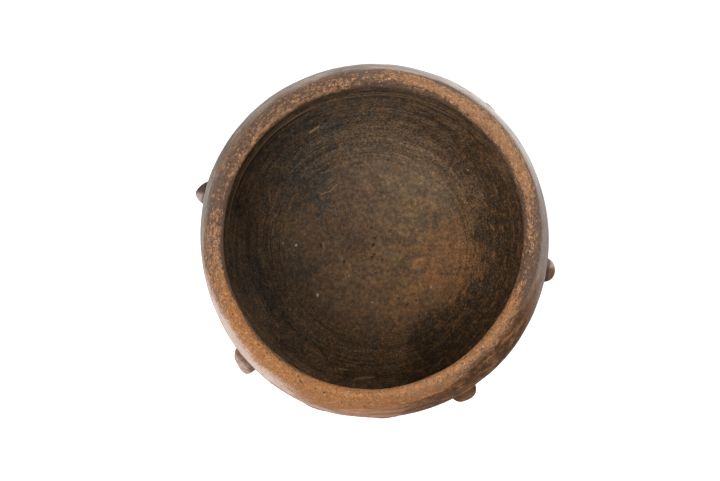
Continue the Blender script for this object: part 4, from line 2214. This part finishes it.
@dataclass(frozen=True)
class Studio:
    """The white floor, the soft light and the white that the camera sees behind the pot."""

    floor_size: float = 8.0
    floor_shade: float = 0.78
    floor_glow: float = 0.62
    far_glow: Pair = (0.5, 2.2)  # distances over which the floor's glow grows to full white
    sky: float = 0.36
    boxes: tuple[Softbox, ...] = (
        Softbox("key_light", 237.75, 62, 1.6, (0.9, 0.9), 17.5),
        Softbox("side_panel", 54.0, 24, 1.6, (1.4, 0.7), 18.0),
        Softbox("low_panel", 190.0, 24, 1.6, (0.8, 0.6), 5.0),
    )

    def floor(self) -> SceneObject:
        """Makes the floor.

        Returns:
            Its object.
        """
        half = self.floor_size / 2
        corners = [(-half, -half, 0), (half, -half, 0), (half, half, 0), (-half, half, 0)]
        mesh = bpy.data.meshes.new("floor")
        mesh.from_pydata(corners, [], [(0, 1, 2, 3)])
        material = bpy.data.materials.new("floor_white")
        board = Board.emptied(material)
        light = board.node("LightPath").outputs
        shade = board.node("BsdfDiffuse", {"Color": (self.floor_shade,) * 3})
        seen = board.maths("MAXIMUM", light["Is Camera Ray"], light["Is Glossy Ray"])
        place = board.node("TexCoord").outputs["Object"]
        away = board.vectors("DISTANCE", place, (0.0, 0.0, 0.0), "Value")
        strength = board.between(board.step(away, *self.far_glow), self.floor_glow, 1.0)
        glow = board.node("Emission", {"Strength": board.times(seen, strength)})
        both = board.node("AddShader", {0: shade.outputs[0], 1: glow.outputs[0]})
        board.node("OutputMaterial", {"Surface": both.outputs[0]})
        mesh.materials.append(material)
        return new_object("floor", mesh)

    def world(self) -> None:
        """Makes the sky light, which the camera sees as white."""
        world = bpy.data.worlds.new("studio")
        board = Board.emptied(world)
        light = board.node("LightPath").outputs
        seen = board.maths("MAXIMUM", light["Is Camera Ray"], light["Is Transmission Ray"])
        strength = board.between(seen, self.sky, 1.0)
        sky = board.node("Background", {"Color": (1.0, 1.0, 1.0), "Strength": strength})
        board.node("OutputWorld", {"Surface": sky.outputs[0]})
        bpy.context.scene.world = world

    def build(self) -> None:
        """Makes the floor, the sky and the lamps, and sets the plain view transform."""
        bpy.context.scene.view_settings.view_transform = "Standard"
        self.floor()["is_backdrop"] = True
        self.world()
        for box in self.boxes:
            box.build()


@dataclass(frozen=True)
class PhotoCamera:
    """The camera of the photograph, nearly straight above the pot."""

    lens: float = 85.0
    sensor: float = 36.0
    place: Point = (-12.2, -85.1, 1574.6)  # before the photo's turn against the row frame
    aim: Point = (-12.2, -0.94, 127.0)

    def build(self) -> None:
        """Makes the camera and sets it as the scene's."""
        camera = bpy.data.cameras.new("photo_camera")
        camera.lens, camera.sensor_width = self.lens, self.sensor
        place, aim = Vector(self.place), Vector(self.aim)
        ahead = (aim - place).normalized()
        right = Vector((1, 0, 0))
        up = right.cross(ahead)
        axes = Matrix((right, up, -ahead)).transposed().to_4x4()
        turn = Matrix.Rotation(math.radians(CAMERA_TURN), 4, "Z")
        made = new_object("photo_camera", camera)
        made.matrix_world = turn @ Matrix.Translation(place * MM) @ axes
        bpy.context.scene.camera = made


@dataclass(frozen=True)
class FacePot:
    """The whole pot: the bowl's clay and all that is pressed on it."""

    form: PotForm = PotForm()
    firing: FiringMap = FiringMap()

    def build(self) -> list[SceneObject]:
        """Makes every piece.

        Returns:
            Their objects.
        """
        finishes = (OutsideFinish(), LipFinish(), HollowFinish(), JointFinish())
        skins = [finish.make() for finish in finishes]
        slots = {"base_dish": "base_clay", "lip_coil": "lip_clay"}
        slots |= {f"wall_coil_{i + 1}": "wall_clay" for i in range(self.form.coil_count)}
        marks = HandMarks(self.form)
        bowl = Bowl(self.form, marks, self.firing, skins, slots)
        pressed = PressedPieces(marks, self.firing, PressedFinish().make(), "applied_clay")
        return bowl.build() + pressed.build()


def write_sizes(before: Sequence[Sequence[float]], after: Sequence[Sequence[float]]) -> None:
    """Writes the box of the solids and the box of the dressed pot.

    Args:
        before: Lowest and highest corner of the solids.
        after: Those of the pot as it is dressed.
    """
    sizes = {"before": [list(corner) for corner in before], "after": [list(corner) for corner in after]}


def main() -> None:
    """Builds the pot, the studio and the camera, and notes the sizes."""
    logging.basicConfig(level=logging.INFO, format="%(name)s: %(message)s")
    pieces = FacePot().build()
    Studio().build()
    PhotoCamera().build()
    write_sizes(CAD_BOX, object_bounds())
    log.info("%d pieces, %d faces", len(pieces), sum(len(piece.data.polygons) for piece in pieces))


if __name__ == "__main__":
    main()
